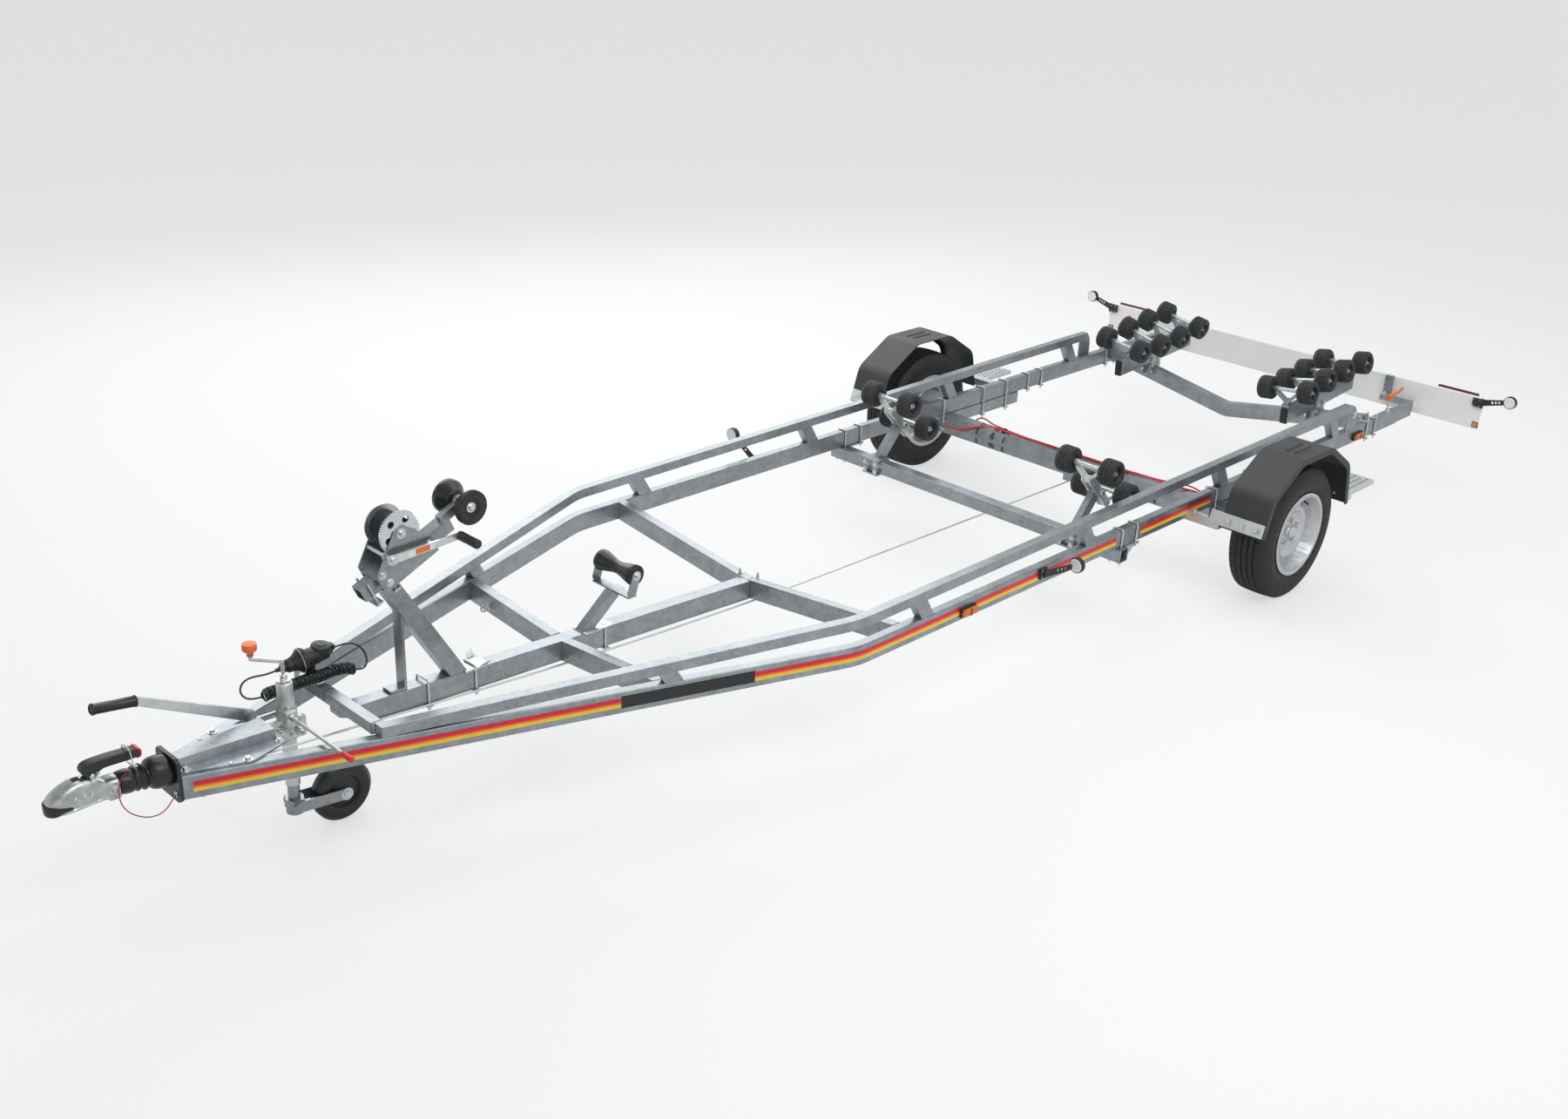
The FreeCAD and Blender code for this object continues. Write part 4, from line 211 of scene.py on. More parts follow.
# Key, then name, colour, roughness, metallic, variation and its scale, bump and its scale, rough variation
M = {
    "galvanised": material("galvanised_steel", (0.3, 0.33, 0.345), 0.32, 0.75, 0.19, 11, 0.08, 220, 0.04,
                           pattern="spangle"),
    "zinc": material("zinc_plate", (0.62, 0.64, 0.64), 0.28, 0.88, 0.12, 30, 0.06, 500, 0.07),
    "cast_zinc": material("cast_zinc", (0.46, 0.48, 0.45), 0.32, 0.9, 0.2, 45, 0.35, 160, 0.08),
    "cast_pale": material("cast_zinc_plate", (0.6, 0.62, 0.59), 0.36, 0.75, 0.16, 40, 0.3, 150, 0.08),
    "pale_zinc": material("satin_zinc", (0.66, 0.68, 0.67), 0.36, 0.75, 0.08, 18, 0.05, 400, 0.05),
    "green_mark": material("green_mark", (0.06, 0.34, 0.09), 0.4, 0.0, 0.1, 40, 0.05, 300, 0.05),
    "silver_paint": material("silver_wheel_paint", (0.6, 0.61, 0.62), 0.33, 0.55, 0.05, 20, 0.08, 700, 0.05),
    "black_paint": material("black_paint", (0.022, 0.022, 0.024), 0.4, 0.0, 0.2, 30, 0.1, 300, 0.08),
    "white_paint": material("white_board_paint", (0.83, 0.83, 0.81), 0.38, 0.0, 0.03, 8, 0.04, 400, 0.05),
    "tyre": material("tyre_rubber", (0.012, 0.0115, 0.0115), 0.62, 0.0, 0.3, 25, 0.25, 500, 0.1),
    "rubber": material("roller_rubber", (0.019, 0.02, 0.021), 0.5, 0.0, 0.25, 60, 0.2, 600, 0.08),
    "smooth_rubber": material("polished_rubber", (0.013, 0.013, 0.014), 0.3, 0.0, 0.2, 30, 0.05, 400, 0.07),
    "black_plastic": material("grained_plastic", (0.028, 0.031, 0.033), 0.5, 0.0, 0.1, 15, 0.45, 900, 0.06),
    "moulded": material("moulded_plastic", (0.016, 0.016, 0.017), 0.42, 0.0, 0.2, 40, 0.2, 700, 0.06),
    "webbing": material("strap_webbing", (0.016, 0.018, 0.03), 0.85, 0.0, 0.35, 300, 0.8, 900, 0.05,
                        stretch=(1, 3, 1)),
    "red_cable": material("red_cable_sheath", (0.62, 0.01, 0.035), 0.34, 0.0, 0.08, 40, 0.05, 300, 0.05),
    "dark_red": material("dark_red_cable", (0.33, 0.008, 0.025), 0.34, 0.0, 0.1, 40, 0.05, 300, 0.05),
    "red_plastic": material("red_plastic", (0.72, 0.03, 0.035), 0.4, 0.0, 0.08, 60, 0.1, 400, 0.06),
    "orange": material("orange_plastic", (0.83, 0.17, 0.03), 0.42, 0.0, 0.1, 40, 0.15, 500, 0.06),
    "amber": material("amber_lens", (0.72, 0.2, 0.015), 0.16, 0.0, 0.25, 160, 0.2, 220, 0.03, coat=0.4),
    "red_lens": material("red_lens", (0.42, 0.012, 0.012), 0.14, 0.0, 0.25, 160, 0.2, 220, 0.03, coat=0.4),
    "clear_lens": material("clear_lens", (0.8, 0.8, 0.8), 0.15, 0.0, 0.06, 160, 0.2, 220, 0.03, coat=0.3),
    "deep_red": material("deep_red_lens", (0.1, 0.01, 0.01), 0.2, 0.0, 0.2, 120, 0.15, 220, 0.03, coat=0.3),
    "stripe_red": material("stripe_red", (0.7, 0.01, 0.035), 0.35, 0.0, 0.05, 20, 0.02, 300, 0.05),
    "stripe_orange": material("stripe_orange", (0.85, 0.16, 0.02), 0.35, 0.0, 0.05, 20, 0.02, 300, 0.05),
    "stripe_yellow": material("stripe_yellow", (0.9, 0.66, 0.03), 0.35, 0.0, 0.05, 20, 0.02, 300, 0.05),
    "black_film": material("black_film", (0.012, 0.012, 0.013), 0.35, 0.0, 0.1, 20, 0.02, 300, 0.05),
    "white_film": material("white_film", (0.82, 0.82, 0.8), 0.4, 0.0, 0.04, 20, 0.02, 300, 0.05),
    "black_cord": material("cord_sheath", (0.011, 0.011, 0.012), 0.2, 0.0, 0.15, 60, 0.03, 500, 0.04, coat=0.4),
    "inside": material("shadowed_inside", (0.025, 0.027, 0.03), 0.8, 0.2, 0.2, 20, 0.1, 200, 0.05),
}


# Mesh helpers
def finish_mesh(name, bm, mat, body, smooth=True, angle=35):
    # Turns a bmesh into a piece that rides on a body, with its material or list of materials.
    bmesh.ops.recalc_face_normals(bm, faces=bm.faces)
    data = bpy.data.meshes.new(name)
    bm.to_mesh(data)
    bm.free()
    o = bpy.data.objects.new(name, data)
    scene.collection.objects.link(o)
    if smooth:
        for f in data.polygons:
            f.use_smooth = True
        data.set_sharp_from_angle(angle=math.radians(angle))
    for one in mat if isinstance(mat, list) else [mat]:
        data.materials.append(M[one])
    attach(o, body)
    return o


def basis(axis):
    axis = axis.normalized()
    u = axis.cross(UP if abs(axis.z) < 0.9 else AHEAD).normalized()
    return u, axis.cross(u), axis


def ring_of(bm, centre, u, v, radius, count, phase=0.0):
    return [bm.verts.new(centre + (u * math.cos(phase + TAU * i / count) + v
                                   * math.sin(phase + TAU * i / count)) * radius) for i in range(count)]


def bridge(bm, ra, rb):
    n = len(ra)
    for i in range(n):
        bm.faces.new((ra[i], ra[(i + 1) % n], rb[(i + 1) % n], rb[i]))


def loft(bm, rings, caps=True):
    # Skin over rings of as many vertices each.
    for ra, rb in zip(rings, rings[1:]):
        bridge(bm, ra, rb)
    if caps:
        for ring in (rings[0], rings[-1]):
            bm.faces.new(ring)


def add_lathe(bm, base, axis, profile, count=32, phase=0.0, caps=True):
    # Profile of (radius, distance along the axis) pairs in metres.
    u, v, w = basis(axis)
    loft(bm, [ring_of(bm, base + w * h, u, v, max(rad, 1e-5), count, phase) for rad, h in profile], caps)


def add_rod(bm, start, end, radius, count=16, bevel=0.0):
    length = (end - start).length
    profile = [(radius, 0), (radius, length)]
    if bevel:
        profile = [(radius - bevel, 0), (radius, bevel), (radius, length - bevel), (radius - bevel, length)]
    add_lathe(bm, start, end - start, profile, count)


def add_hex(bm, start, axis, across, height):
    # Six-sided nut or bolt head with its corners turned off.
    rad = across / 2 / math.cos(math.pi / 6)
    add_lathe(bm, start, axis, [(rad, 0), (rad, height * 0.8), (rad * 0.86, height)], 6, 0.3)


def add_bolt(bm, place, axis, across=0.013, head=0.006, washer=0.0016, tail=0.0):
    # Hexagon head on a washer, with the thread's end where the bolt has a nut.
    axis = axis.normalized()
    if washer:
        add_rod(bm, place, place + axis * washer, across * 0.95, 20, 0.0004)
    start = place + axis * washer
    add_hex(bm, start, axis, across, head)
    if tail:
        add_rod(bm, start + axis * head, start + axis * (head + tail), across * 0.3, 12, 0.0006)


def add_box(bm, low, high, bevel=0.0):
    made = bmesh.ops.create_cube(bm, size=1.0)["verts"]
    centre, size = (low + high) / 2, high - low
    for v in made:
        v.co = Vector((v.co.x * size.x, v.co.y * size.y, v.co.z * size.z))
    if bevel:
        edges = list({ed for v in made for ed in v.link_edges})
        out = bmesh.ops.bevel(bm, geom=edges, offset=bevel, segments=2, profile=0.6, affect="EDGES")
        made = list({v for f in out["faces"] for v in f.verts} | {v for v in made if v.is_valid})
    for v in made:
        v.co = v.co + centre


def side_box(bm, sign, x0, x1, y0, y1, z0, z1, bevel=0.0):
    # Box given for the left side, and set on the side that the sign names.
    ya, yb = sorted((sign * y0, sign * y1))
    add_box(bm, P(x0, ya, z0), P(x1, yb, z1), bevel)


def smooth_path(points, steps=8, radius=1e9):
    # Straight runs with rounded corners of one radius.
    out = [points[0].copy()]
    for before, p, after in zip(points, points[1:], points[2:]):
        din, dout = before - p, after - p
        reach = min(radius, din.length * 0.49, dout.length * 0.49)
        s, t = p + din.normalized() * reach, p + dout.normalized() * reach
        for k in range(steps + 1):
            q = k / steps
            out.append(s.lerp(p, q).lerp(p.lerp(t, q), q))
    return out + [points[-1].copy()]


def add_tube(bm, path, radius, count=10, radii=None):
    # Tube along a path, its section carried without twist.
    tangent = (path[1] - path[0]).normalized()
    u, v, _ = basis(tangent)
    rings = []
    for i, p in enumerate(path):
        ahead = path[min(i + 1, len(path) - 1)] - path[max(i - 1, 0)]
        if ahead.length < 1e-9:
            continue
        new = ahead.normalized()
        turn = tangent.rotation_difference(new)
        u, v = turn @ u, turn @ v
        tangent = new
        rings.append(ring_of(bm, p, u, v, radii[i] if radii else radius, count))
    loft(bm, rings)


def add_prism(bm, outline, sweep):
    low = [bm.verts.new(p) for p in outline]
    high = [bm.verts.new(p + sweep) for p in outline]
    bm.faces.new(low)
    bm.faces.new(high)
    bridge(bm, low, high)


def bevelled(o, width, segments=3, angle=30, weight=50):
    bevel = o.modifiers.new("Bevel", "BEVEL")
    bevel.width = width
    bevel.segments = segments
    bevel.limit_method = "ANGLE"
    bevel.angle_limit = math.radians(angle)
    even_shading(o, weight)
    return o


def even_shading(o, weight):
    shading = o.modifiers.new("WeightedNormal", "WEIGHTED_NORMAL")
    shading.keep_sharp = False
    shading.weight = weight


# CAD nodes that stay: rounded edges and materials
KEPT = {
    "galvanised": ["main_rail_left", "main_rail_right", "upper_rail_left", "upper_rail_right", "rail_standoffs",
                   "cross_members", "axle", "jockey_inner_tube", "jockey_fork", "winch_post", "winch_arm",
                   "roller_posts", "rear_roller_beams", "board_carriers", "coupling_housing"],
    "zinc": ["handbrake_lever", "jockey_crank", "winch_drum", "winch_crank"],
    "pale_zinc": ["rocker_left", "rocker_right", "brake_rod", "fender_mounts"],
    "cast_pale": ["jockey_clamp"],
    "silver_paint": ["rim_left", "rim_right"],
    "black_paint": ["rail_end_plate"],
    "white_paint": ["light_board"],
    "black_plastic": ["fenders"],
    "smooth_rubber": ["bow_roller", "keel_roller", "jockey_wheel"],
    "webbing": ["winch_strap"],
}
NO_BEVEL = {"brake_rod", "rim_left", "rim_right", "winch_strap", "jockey_wheel", "bow_roller", "keel_roller"}
WELD_DISTANCE, EDGE_BEVEL, EDGE_SEGMENTS, EDGE_ANGLE, EDGE_WEIGHT = 0.00002, 0.0016, 2, 40, 80
for key, names in KEPT.items():
    for name in names:
        o = nodes[name]
        o.data.materials.clear()
        o.data.materials.append(M[key])
        bpy.context.view_layer.objects.active = o
        if o.data.has_custom_normals:
            o.select_set(True)
            bpy.ops.mesh.customdata_custom_splitnormals_clear()
            o.select_set(False)
        for f in o.data.polygons:
            f.use_smooth = True
        weld = o.modifiers.new("Weld", "WELD")
        weld.merge_threshold = WELD_DISTANCE
        if name in NO_BEVEL:
            even_shading(o, EDGE_WEIGHT)
        else:
            bevelled(o, EDGE_BEVEL, EDGE_SEGMENTS, EDGE_ANGLE, EDGE_WEIGHT)

# Floor: white paper that glows for the camera, and faintly in reflections
FLOOR_SIZE, FLOOR_GREY, FLOOR_GLOW, FLOOR_GLOSS_GLOW = 60, 0.8, 0.62, 0.1
floor_mesh = bpy.data.meshes.new("Floor")
bm = bmesh.new()
bmesh.ops.create_grid(bm, x_segments=1, y_segments=1, size=FLOOR_SIZE)
bm.to_mesh(floor_mesh)
bm.free()
floor = bpy.data.objects.new("Floor", floor_mesh)
scene.collection.objects.link(floor)
paper = bpy.data.materials.new("floor_paper")
ft = cleared(paper)
f_out, f_mix, f_path = (add_node(ft, kind) for kind in ("OutputMaterial", "MixShader", "LightPath"))
f_plain = add_node(ft, "BsdfDiffuse", {"Color": (FLOOR_GREY, FLOOR_GREY, FLOOR_GREY, 1)})
f_glow = add_node(ft, "Emission", {"Strength": 1.0})
f_camera = add_node(ft, "Math", {1: FLOOR_GLOW}, operation="MULTIPLY")
f_share = add_node(ft, "Math", {1: FLOOR_GLOSS_GLOW}, operation="MULTIPLY_ADD")
join(ft, (f_path.outputs["Is Camera Ray"], f_camera.inputs[0]),
     (f_path.outputs["Is Glossy Ray"], f_share.inputs[0]), (f_camera.outputs[0], f_share.inputs[2]),
     (f_share.outputs[0], f_mix.inputs[0]), (f_plain.outputs[0], f_mix.inputs[1]),
     (f_glow.outputs[0], f_mix.inputs[2]), (f_mix.outputs[0], f_out.inputs[0]))
floor_mesh.materials.append(paper)


# Cords: the routes of the part's source, as smooth splines
def nurbs(points):
    data = bpy.data.curves.new("route", "CURVE")
    data.dimensions = "3D"
    spline = data.splines.new("NURBS")
    spline.points.add(len(points) - 1)
    for i, p in enumerate(points):
        spline.points[i].co = (*p, 1)
    spline.order_u = 3
    spline.use_endpoint_u = True
    spline.resolution_u = 12
    return data


def add_cable(name, points, radius, mat, caps=False):
    # Round cable along a spline, riding on the frame.
    data = nurbs(points)
    data.name = name
    data.bevel_depth = radius
    data.bevel_resolution = 4
    data.use_fill_caps = caps
    o = bpy.data.objects.new(name, data)
    scene.collection.objects.link(o)
    data.materials.append(M[mat])
    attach(o, "frame")
    return o


def sampled(points):
    # Points along the route's spline, read from Blender.
    o = bpy.data.objects.new("sample", nurbs(points))
    scene.collection.objects.link(o)
    bpy.context.view_layer.update()
    mesh = bpy.data.meshes.new_from_object(o.evaluated_get(bpy.context.evaluated_depsgraph_get()))
    out = [v.co.copy() for v in mesh.vertices]
    bpy.data.objects.remove(o)
    return out


def length_of(path):
    return sum((q - p).length for p, q in zip(path, path[1:]))


def resample(path, count):
    # As many points as wanted, evenly spaced along the path, and its length.
    lengths = [0.0]
    for p, q in zip(path, path[1:]):
        lengths.append(lengths[-1] + (q - p).length)
    out, k = [], 0
    for i in range(count):
        want = lengths[-1] * i / (count - 1)
        while k < len(path) - 2 and lengths[k + 1] < want:
            k += 1
        stretch = max(lengths[k + 1] - lengths[k], 1e-9)
        out.append(path[k].lerp(path[k + 1], min(1, (want - lengths[k]) / stretch)))
    return out, lengths[-1]


# Curly cord: a helix that narrows to the route's ends, where the leads meet it
COIL_POINTS = [P(1836, -120, 524), P(1762, -122, 519), P(1690, -120, 523), P(1618, -121, 520),
               P(1546, -120, 524), P(1496, -124, 506)]
COIL_RADIUS, COIL_WIRE, COIL_PITCH, COIL_LIFT = 22.0 * MM, 3.5 * MM, 8.4 * MM, 6.5 * MM
TURN_STEPS, NARROW_STEPS, LIFT_STEPS, ROUTE_SAMPLES = 16, 14, 48, 400
coil_line, coil_length = resample(sampled(COIL_POINTS), ROUTE_SAMPLES)
steps = round(coil_length / COIL_PITCH) * TURN_STEPS
line, _ = resample(coil_line, steps + 1)
helix = []
tangent = (line[1] - line[0]).normalized()
u, v, _ = basis(tangent)
for i, p in enumerate(line):
    new = (line[min(i + 1, steps)] - line[max(i - 1, 0)]).normalized()
    turn = tangent.rotation_difference(new)
    u, v, tangent = turn @ u, turn @ v, new
    angle = TAU * i / TURN_STEPS
    rise = min(1.0, i / NARROW_STEPS, (steps - i) / NARROW_STEPS)
    lift = UP * COIL_LIFT * min(1.0, i / LIFT_STEPS, (steps - i) / LIFT_STEPS)
    helix.append(p + lift + (u * math.cos(angle) + v * math.sin(angle)) * (COIL_RADIUS - COIL_WIRE) * rise)
bm = bmesh.new()
add_tube(bm, helix, COIL_WIRE, 8)
coil = finish_mesh("curly_lead", bm, "black_cord", "frame")
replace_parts(coil, "curly_cord")

PLUG_FRONT, SOCKET_BACK = P(1758.5, -165, 574), P(1539.4, -165, 588)
PLUG_LEAD = [PLUG_FRONT, P(1790, -165, 572), P(1824, -167, 577), P(1856, -165, 580), P(1884, -157, 574),
             P(1900, -143, 556), P(1893, -128, 536), P(1866, -119.3, 526), P(1836.3, -120, 524)]
SOCKET_LEAD = [SOCKET_BACK, P(1508, -165, 590), P(1474, -166, 582), P(1448, -161, 565), P(1434, -152, 540),
               P(1432, -142, 514), P(1446, -133, 495), P(1468, -126.4, 495.5), P(1495.7, -124, 505.9)]
BREAKAWAY = [P(2228.6, 45, 395), P(2247, 52, 386), P(2268, 60, 370), P(2294, 62, 360), P(2326, 62, 364),
             P(2356, 62, 380), P(2382, 60, 402), P(2400, 56, 432), P(2404, 52, 468), P(2396, 46, 502),
             P(2374, 40, 528), P(2344, 36, 540)]
for name, points, radius, mat, node, stiffness in (
        ("plug_cord", PLUG_LEAD, 3.5 * MM, "black_cord", "plug_lead", "medium"),
        ("socket_cord", SOCKET_LEAD, 3.5 * MM, "black_cord", "socket_lead", "medium"),
        ("breakaway_wire", BREAKAWAY, 1.8 * MM, "dark_red", "breakaway_cable", "stiff")):
    o = add_cable(name, points, radius, mat, caps=True)
    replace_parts(o, node)
    round(length_of(sampled(points)), 3)


# Tyres with tread: radius and distance from the tyre's middle, in millimetres
WHEEL_X, WHEEL_Z, TYRE_MID = -2575.0, 314.5, 1097.5
WALL = [(178.5, -84), (196, -85.5), (199, -90), (203, -91.5), (209, -92), (214, -94.5), (226, -96.5),
        (240, -97.5), (254, -97.3), (256, -96.2), (259, -96.2), (261, -97), (275, -95), (287, -91),
        (289, -89), (296, -86), (303, -81), (308, -76)]
TREAD_HALF, TREAD_ROWS, CROWN, CROWN_DROP, CROWN_POWER = 70, 44, 314.4, 3.4, 2.2
GROOVES, GROOVE_HALF, GROOVE_FLOOR_HALF = (-42.0, -14.0, 14.0, 42.0), 3.4, 2.2
GROOVE_DEPTH, GROOVE_EDGE_DEPTH = 6.5, 3.5
TYRE_STEPS, SHOULDER_STEP, CENTRE_STEP, SLOT_SKEW = 300, 5, 6, 9
SHOULDER_SLOT, CENTRE_SLOT, WALL_NOTCH, NOTCH_FROM, NOTCH_TO = 3.6, 2.4, 1.6, 287, 310


def tread_cut(t, i):
    # Depth cut into the tread: grooves round it, and slots across its ribs.
    near = min(abs(t - g) for g in GROOVES)
    if near < GROOVE_HALF:
        return GROOVE_DEPTH if near < GROOVE_FLOOR_HALF else GROOVE_EDGE_DEPTH
    band = sum(t > g for g in GROOVES)
    shoulder = band in (0, len(GROOVES))
    offset = 0 if shoulder else band * 2 + int((t + TREAD_HALF) / SLOT_SKEW)
    if (i + offset) % (SHOULDER_STEP if shoulder else CENTRE_STEP):
        return 0
    return SHOULDER_SLOT if shoulder else CENTRE_SLOT


def tyre(side, sign):
    tread = []
    for k in range(TREAD_ROWS + 1):
        t = 2 * TREAD_HALF * k / TREAD_ROWS - TREAD_HALF
        tread.append((CROWN - CROWN_DROP * (abs(t) / TREAD_HALF) ** CROWN_POWER, t))
    bm = bmesh.new()
    rings = []
    for k, (radius, t) in enumerate(WALL + tread + [(rr, -t) for rr, t in reversed(WALL)]):
        ring = []
        for i in range(TYRE_STEPS):
            ang = TAU * i / TYRE_STEPS
            rad = radius
            if len(WALL) <= k < len(WALL) + len(tread):
                rad -= tread_cut(t, i)
            elif NOTCH_FROM < radius < NOTCH_TO and i % SHOULDER_STEP == 0:
                rad -= WALL_NOTCH
            ring.append(bm.verts.new(P(WHEEL_X + rad * math.cos(ang), sign * (TYRE_MID + t),
                                       WHEEL_Z + rad * math.sin(ang))))
        rings.append(ring)
    loft(bm, rings + [rings[0]], caps=False)
    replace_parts(finish_mesh("treaded_tyre_" + side, bm, "tyre", "wheel_" + side, angle=28), "tyre_" + side)


for side, sign in SIDES:
    tyre(side, sign)

# Wheel nuts and valves
NUT_COUNT, NUT_CIRCLE, NUT_TURN, NUT_FACE = 5, 56, 0.3, 1133.8
VALVE_CIRCLE, VALVE_TURN, VALVE_FACE, VALVE_LEAN = 158, 2.2, 1135, 0.4
VALVE = [(0.0055, 0), (0.0055, 0.012), (0.0035, 0.016), (0.0035, 0.024), (0.0045, 0.026), (0.0045, 0.034),
         (0.003, 0.036)]


def on_wheel(circle, turn, y):
    return P(WHEEL_X + circle * math.cos(turn), y, WHEEL_Z + circle * math.sin(turn))


for side, sign in SIDES:
    body = "wheel_" + side
    bm = bmesh.new()
    out = LEFT * sign
    for i in range(NUT_COUNT):
        base = on_wheel(NUT_CIRCLE, TAU * i / NUT_COUNT + NUT_TURN, sign * NUT_FACE)
        add_lathe(bm, base, out, [(0.0125, 0), (0.011, 0.004)], 20)
        add_hex(bm, base + out * 0.004, out, 0.019, 0.017)
    finish_mesh("wheel_nuts_" + body, bm, "zinc", body)
    bm = bmesh.new()
    lean = Vector((-math.cos(VALVE_TURN) * VALVE_LEAN, sign, -math.sin(VALVE_TURN) * VALVE_LEAN))
    add_lathe(bm, on_wheel(VALVE_CIRCLE, VALVE_TURN, sign * VALVE_FACE), lean, VALVE, 14)
    finish_mesh("wheel_valve_" + body, bm, "moulded", body)

# Ribbed hull rollers, in metres from the middle of their pair
ROLLER_RADIUS, ROLLER_IN, ROLLER_OUT, ROLLER_EDGE = 0.06, 0.0745, 0.1495, 0.01
RIBS, RIB, BANDS, GROOVE, HOLLOW_RADIUS, HOLLOW = 30, 0.0026, 3, 0.0032, 0.034, 0.017
# The axles are 0.75 mm over the bores of their links, a known fault
AXLE_RADIUS, AXLE_HALF = 0.0098, 0.1325


def ribbed_roller(bm, centre, axis):
    # Roller with bands of ribs across its tread.
    u, v, w = basis(axis)
    edge, inner, outer, radius = ROLLER_EDGE, ROLLER_IN, ROLLER_OUT, ROLLER_RADIUS
    stations = [(0.011, inner + 0.006), (0.026, inner + 0.006), (0.03, inner), (radius - edge, inner),
                (radius - edge * 0.35, inner + edge * 0.35), (radius, inner + edge)]
    length = outer - inner - 2 * edge
    for b in range(BANDS):
        s = inner + edge + length * b / BANDS
        t = inner + edge + length * (b + 1) / BANDS
        stations += [(radius, s + 0.0012), (radius, t - 0.0012)]
        if b < BANDS - 1:
            stations += [(radius - GROOVE, t - 0.0006), (radius - GROOVE, t + 0.0006)]
    stations += [(radius - edge * 0.35, outer - edge * 0.35), (radius - edge, outer),
                 (HOLLOW_RADIUS + 0.003, outer), (HOLLOW_RADIUS, outer - 0.003),
                 (HOLLOW_RADIUS * 0.86, outer - HOLLOW), (0.012, outer - HOLLOW)]
    count = RIBS * 4
    rings = []
    for rad, h in stations:
        ring = []
        for i in range(count):
            ang = TAU * i / count
            between = rad > radius - edge * 0.4 and (i // 2) % 2
            ring.append(bm.verts.new(centre + w * h + (u * math.cos(ang) + v * math.sin(ang))
                                     * (rad - RIB if between else rad)))
        rings.append(ring)
    loft(bm, rings)


def roller_pair(name, centre, axis, node):
    # Two rollers and their axle, which ride on the body of the same name.
    axis = axis.normalized()
    bm = bmesh.new()
    for sign in (-1, 1):
        ribbed_roller(bm, centre, axis * sign)
    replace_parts(finish_mesh(name + "_rubber", bm, "rubber", name, angle=30), node)
    bm = bmesh.new()
    add_rod(bm, centre - axis * AXLE_HALF, centre + axis * AXLE_HALF, AXLE_RADIUS, 20)
    for sign in (-1, 1):
        out = axis * sign
        end = centre + out * AXLE_HALF
        add_rod(bm, end, end + out * 0.002, 0.0125, 24, 0.0005)
        add_hex(bm, end + out * 0.002, out, 0.014, 0.007)
        add_rod(bm, end + out * 0.009, end + out * 0.012, 0.005, 12, 0.0006)
    finish_mesh(name + "_axle", bm, "zinc", name)


PIVOT_X, PIVOT_Z, PIVOT_STEP, LINK_HEIGHT = -1817.5, 532.5, 72.5, 60
for side, sign in SIDES:
    for end, k in (("front", 1), ("rear", -1)):
        roller_pair("rocker_pair_%s_%s" % (end, side), P(PIVOT_X + k * PIVOT_STEP, sign * ROCKER_Y,
                PIVOT_Z + k * PIVOT_STEP + LINK_HEIGHT), LEFT, "rocker_rollers_%s_%s" % (end, side))
BEAM_X, BEAM_Z, BEAM_RISE = -3945, 501, math.radians(4)
BEAM_HALF, LINK_FOOT, FIRST_LINK, LINK_STEP = 42.5, 32, 327, 194
LINK_TILTS = (("first", 6.7), ("second", 13.0), ("third", 13.0), ("fourth", 10.3))


def on_beam(x, y, z, sign):
    # Point of a rear beam, in millimetres along it, across it and above its middle.
    return P(BEAM_X + x * math.cos(BEAM_RISE) + z * math.sin(BEAM_RISE), sign * BEAM_Y + y,
             BEAM_Z - x * math.sin(BEAM_RISE) + z * math.cos(BEAM_RISE))


for i, (place, tilt) in enumerate(LINK_TILTS):
    q = math.radians(tilt)
    for side, sign in SIDES:
        axis = Vector((math.sin(q) * math.sin(BEAM_RISE) * sign, math.cos(q),
                       math.sin(q) * math.cos(BEAM_RISE) * sign))
        roller_pair("rear_pair_%s_%s" % (place, side),
                    on_beam(FIRST_LINK - i * LINK_STEP, -sign * LINK_HEIGHT * math.sin(q),
                            BEAM_HALF + LINK_FOOT + LINK_HEIGHT * math.cos(q), sign),
                    axis, "rear_rollers_%s_%s" % (place, side))

# Bellows with rounded folds: a wide boot on the end plate, two folds and a boot on the head
BELLOWS_X, BELLOWS_Z0, BELLOWS_Z1, BELLOWS_LENGTH = 2227.6, 466.0, 478.0, 0.1575
BELLOWS = [(0.0255, 0), (0.047, 0), (0.051, 0.003), (0.0528, 0.01), (0.0525, 0.03), (0.0513, 0.045),
           (0.048, 0.056), (0.042, 0.063), (0.035, 0.0675), (0.0345, 0.071), (0.04, 0.0765), (0.0428, 0.0815),
           (0.04, 0.0865), (0.0345, 0.0915), (0.0345, 0.094), (0.0385, 0.0985), (0.0405, 0.103),
           (0.0385, 0.1075), (0.0345, 0.1115), (0.035, 0.1135), (0.0378, 0.118), (0.0388, 0.125),
           (0.0382, 0.14), (0.0366, 0.15), (0.0345, 0.1562), (0.032, 0.1575), (0.0255, 0.1575)]
bm = bmesh.new()
rings = []
for rad, h in BELLOWS:
    centre = P(BELLOWS_X + h / MM, 0, BELLOWS_Z0 + (BELLOWS_Z1 - BELLOWS_Z0) * h / BELLOWS_LENGTH)
    rings.append(ring_of(bm, centre, LEFT, UP, rad, 48))
loft(bm, rings, caps=False)
for s in (-1, 1):
    add_lathe(bm, P(2358, s * 36, 476), LEFT * s,
              [(0.0125, 0), (0.0125, 0.0032), (0.0105, 0.0045), (0.008, 0.004), (0.0076, 0.003)], 24)
bellows = finish_mesh("rubber_bellows", bm, "smooth_rubber", "frame", angle=50)
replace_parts(bellows, "bellows")
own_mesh(bellows)

# Stripes along the outer faces of the rails, with more stations round the bend
BEND_ANGLE, BEND_RADIUS, RAIL_FACE, STRIPE_PROUD = math.radians(18.9), 340.0, 828.0, 0.45
BEND_FROM, BEND_TO, BEND_STATIONS = -80, 130, [k * 15 - 75 for k in range(14)]


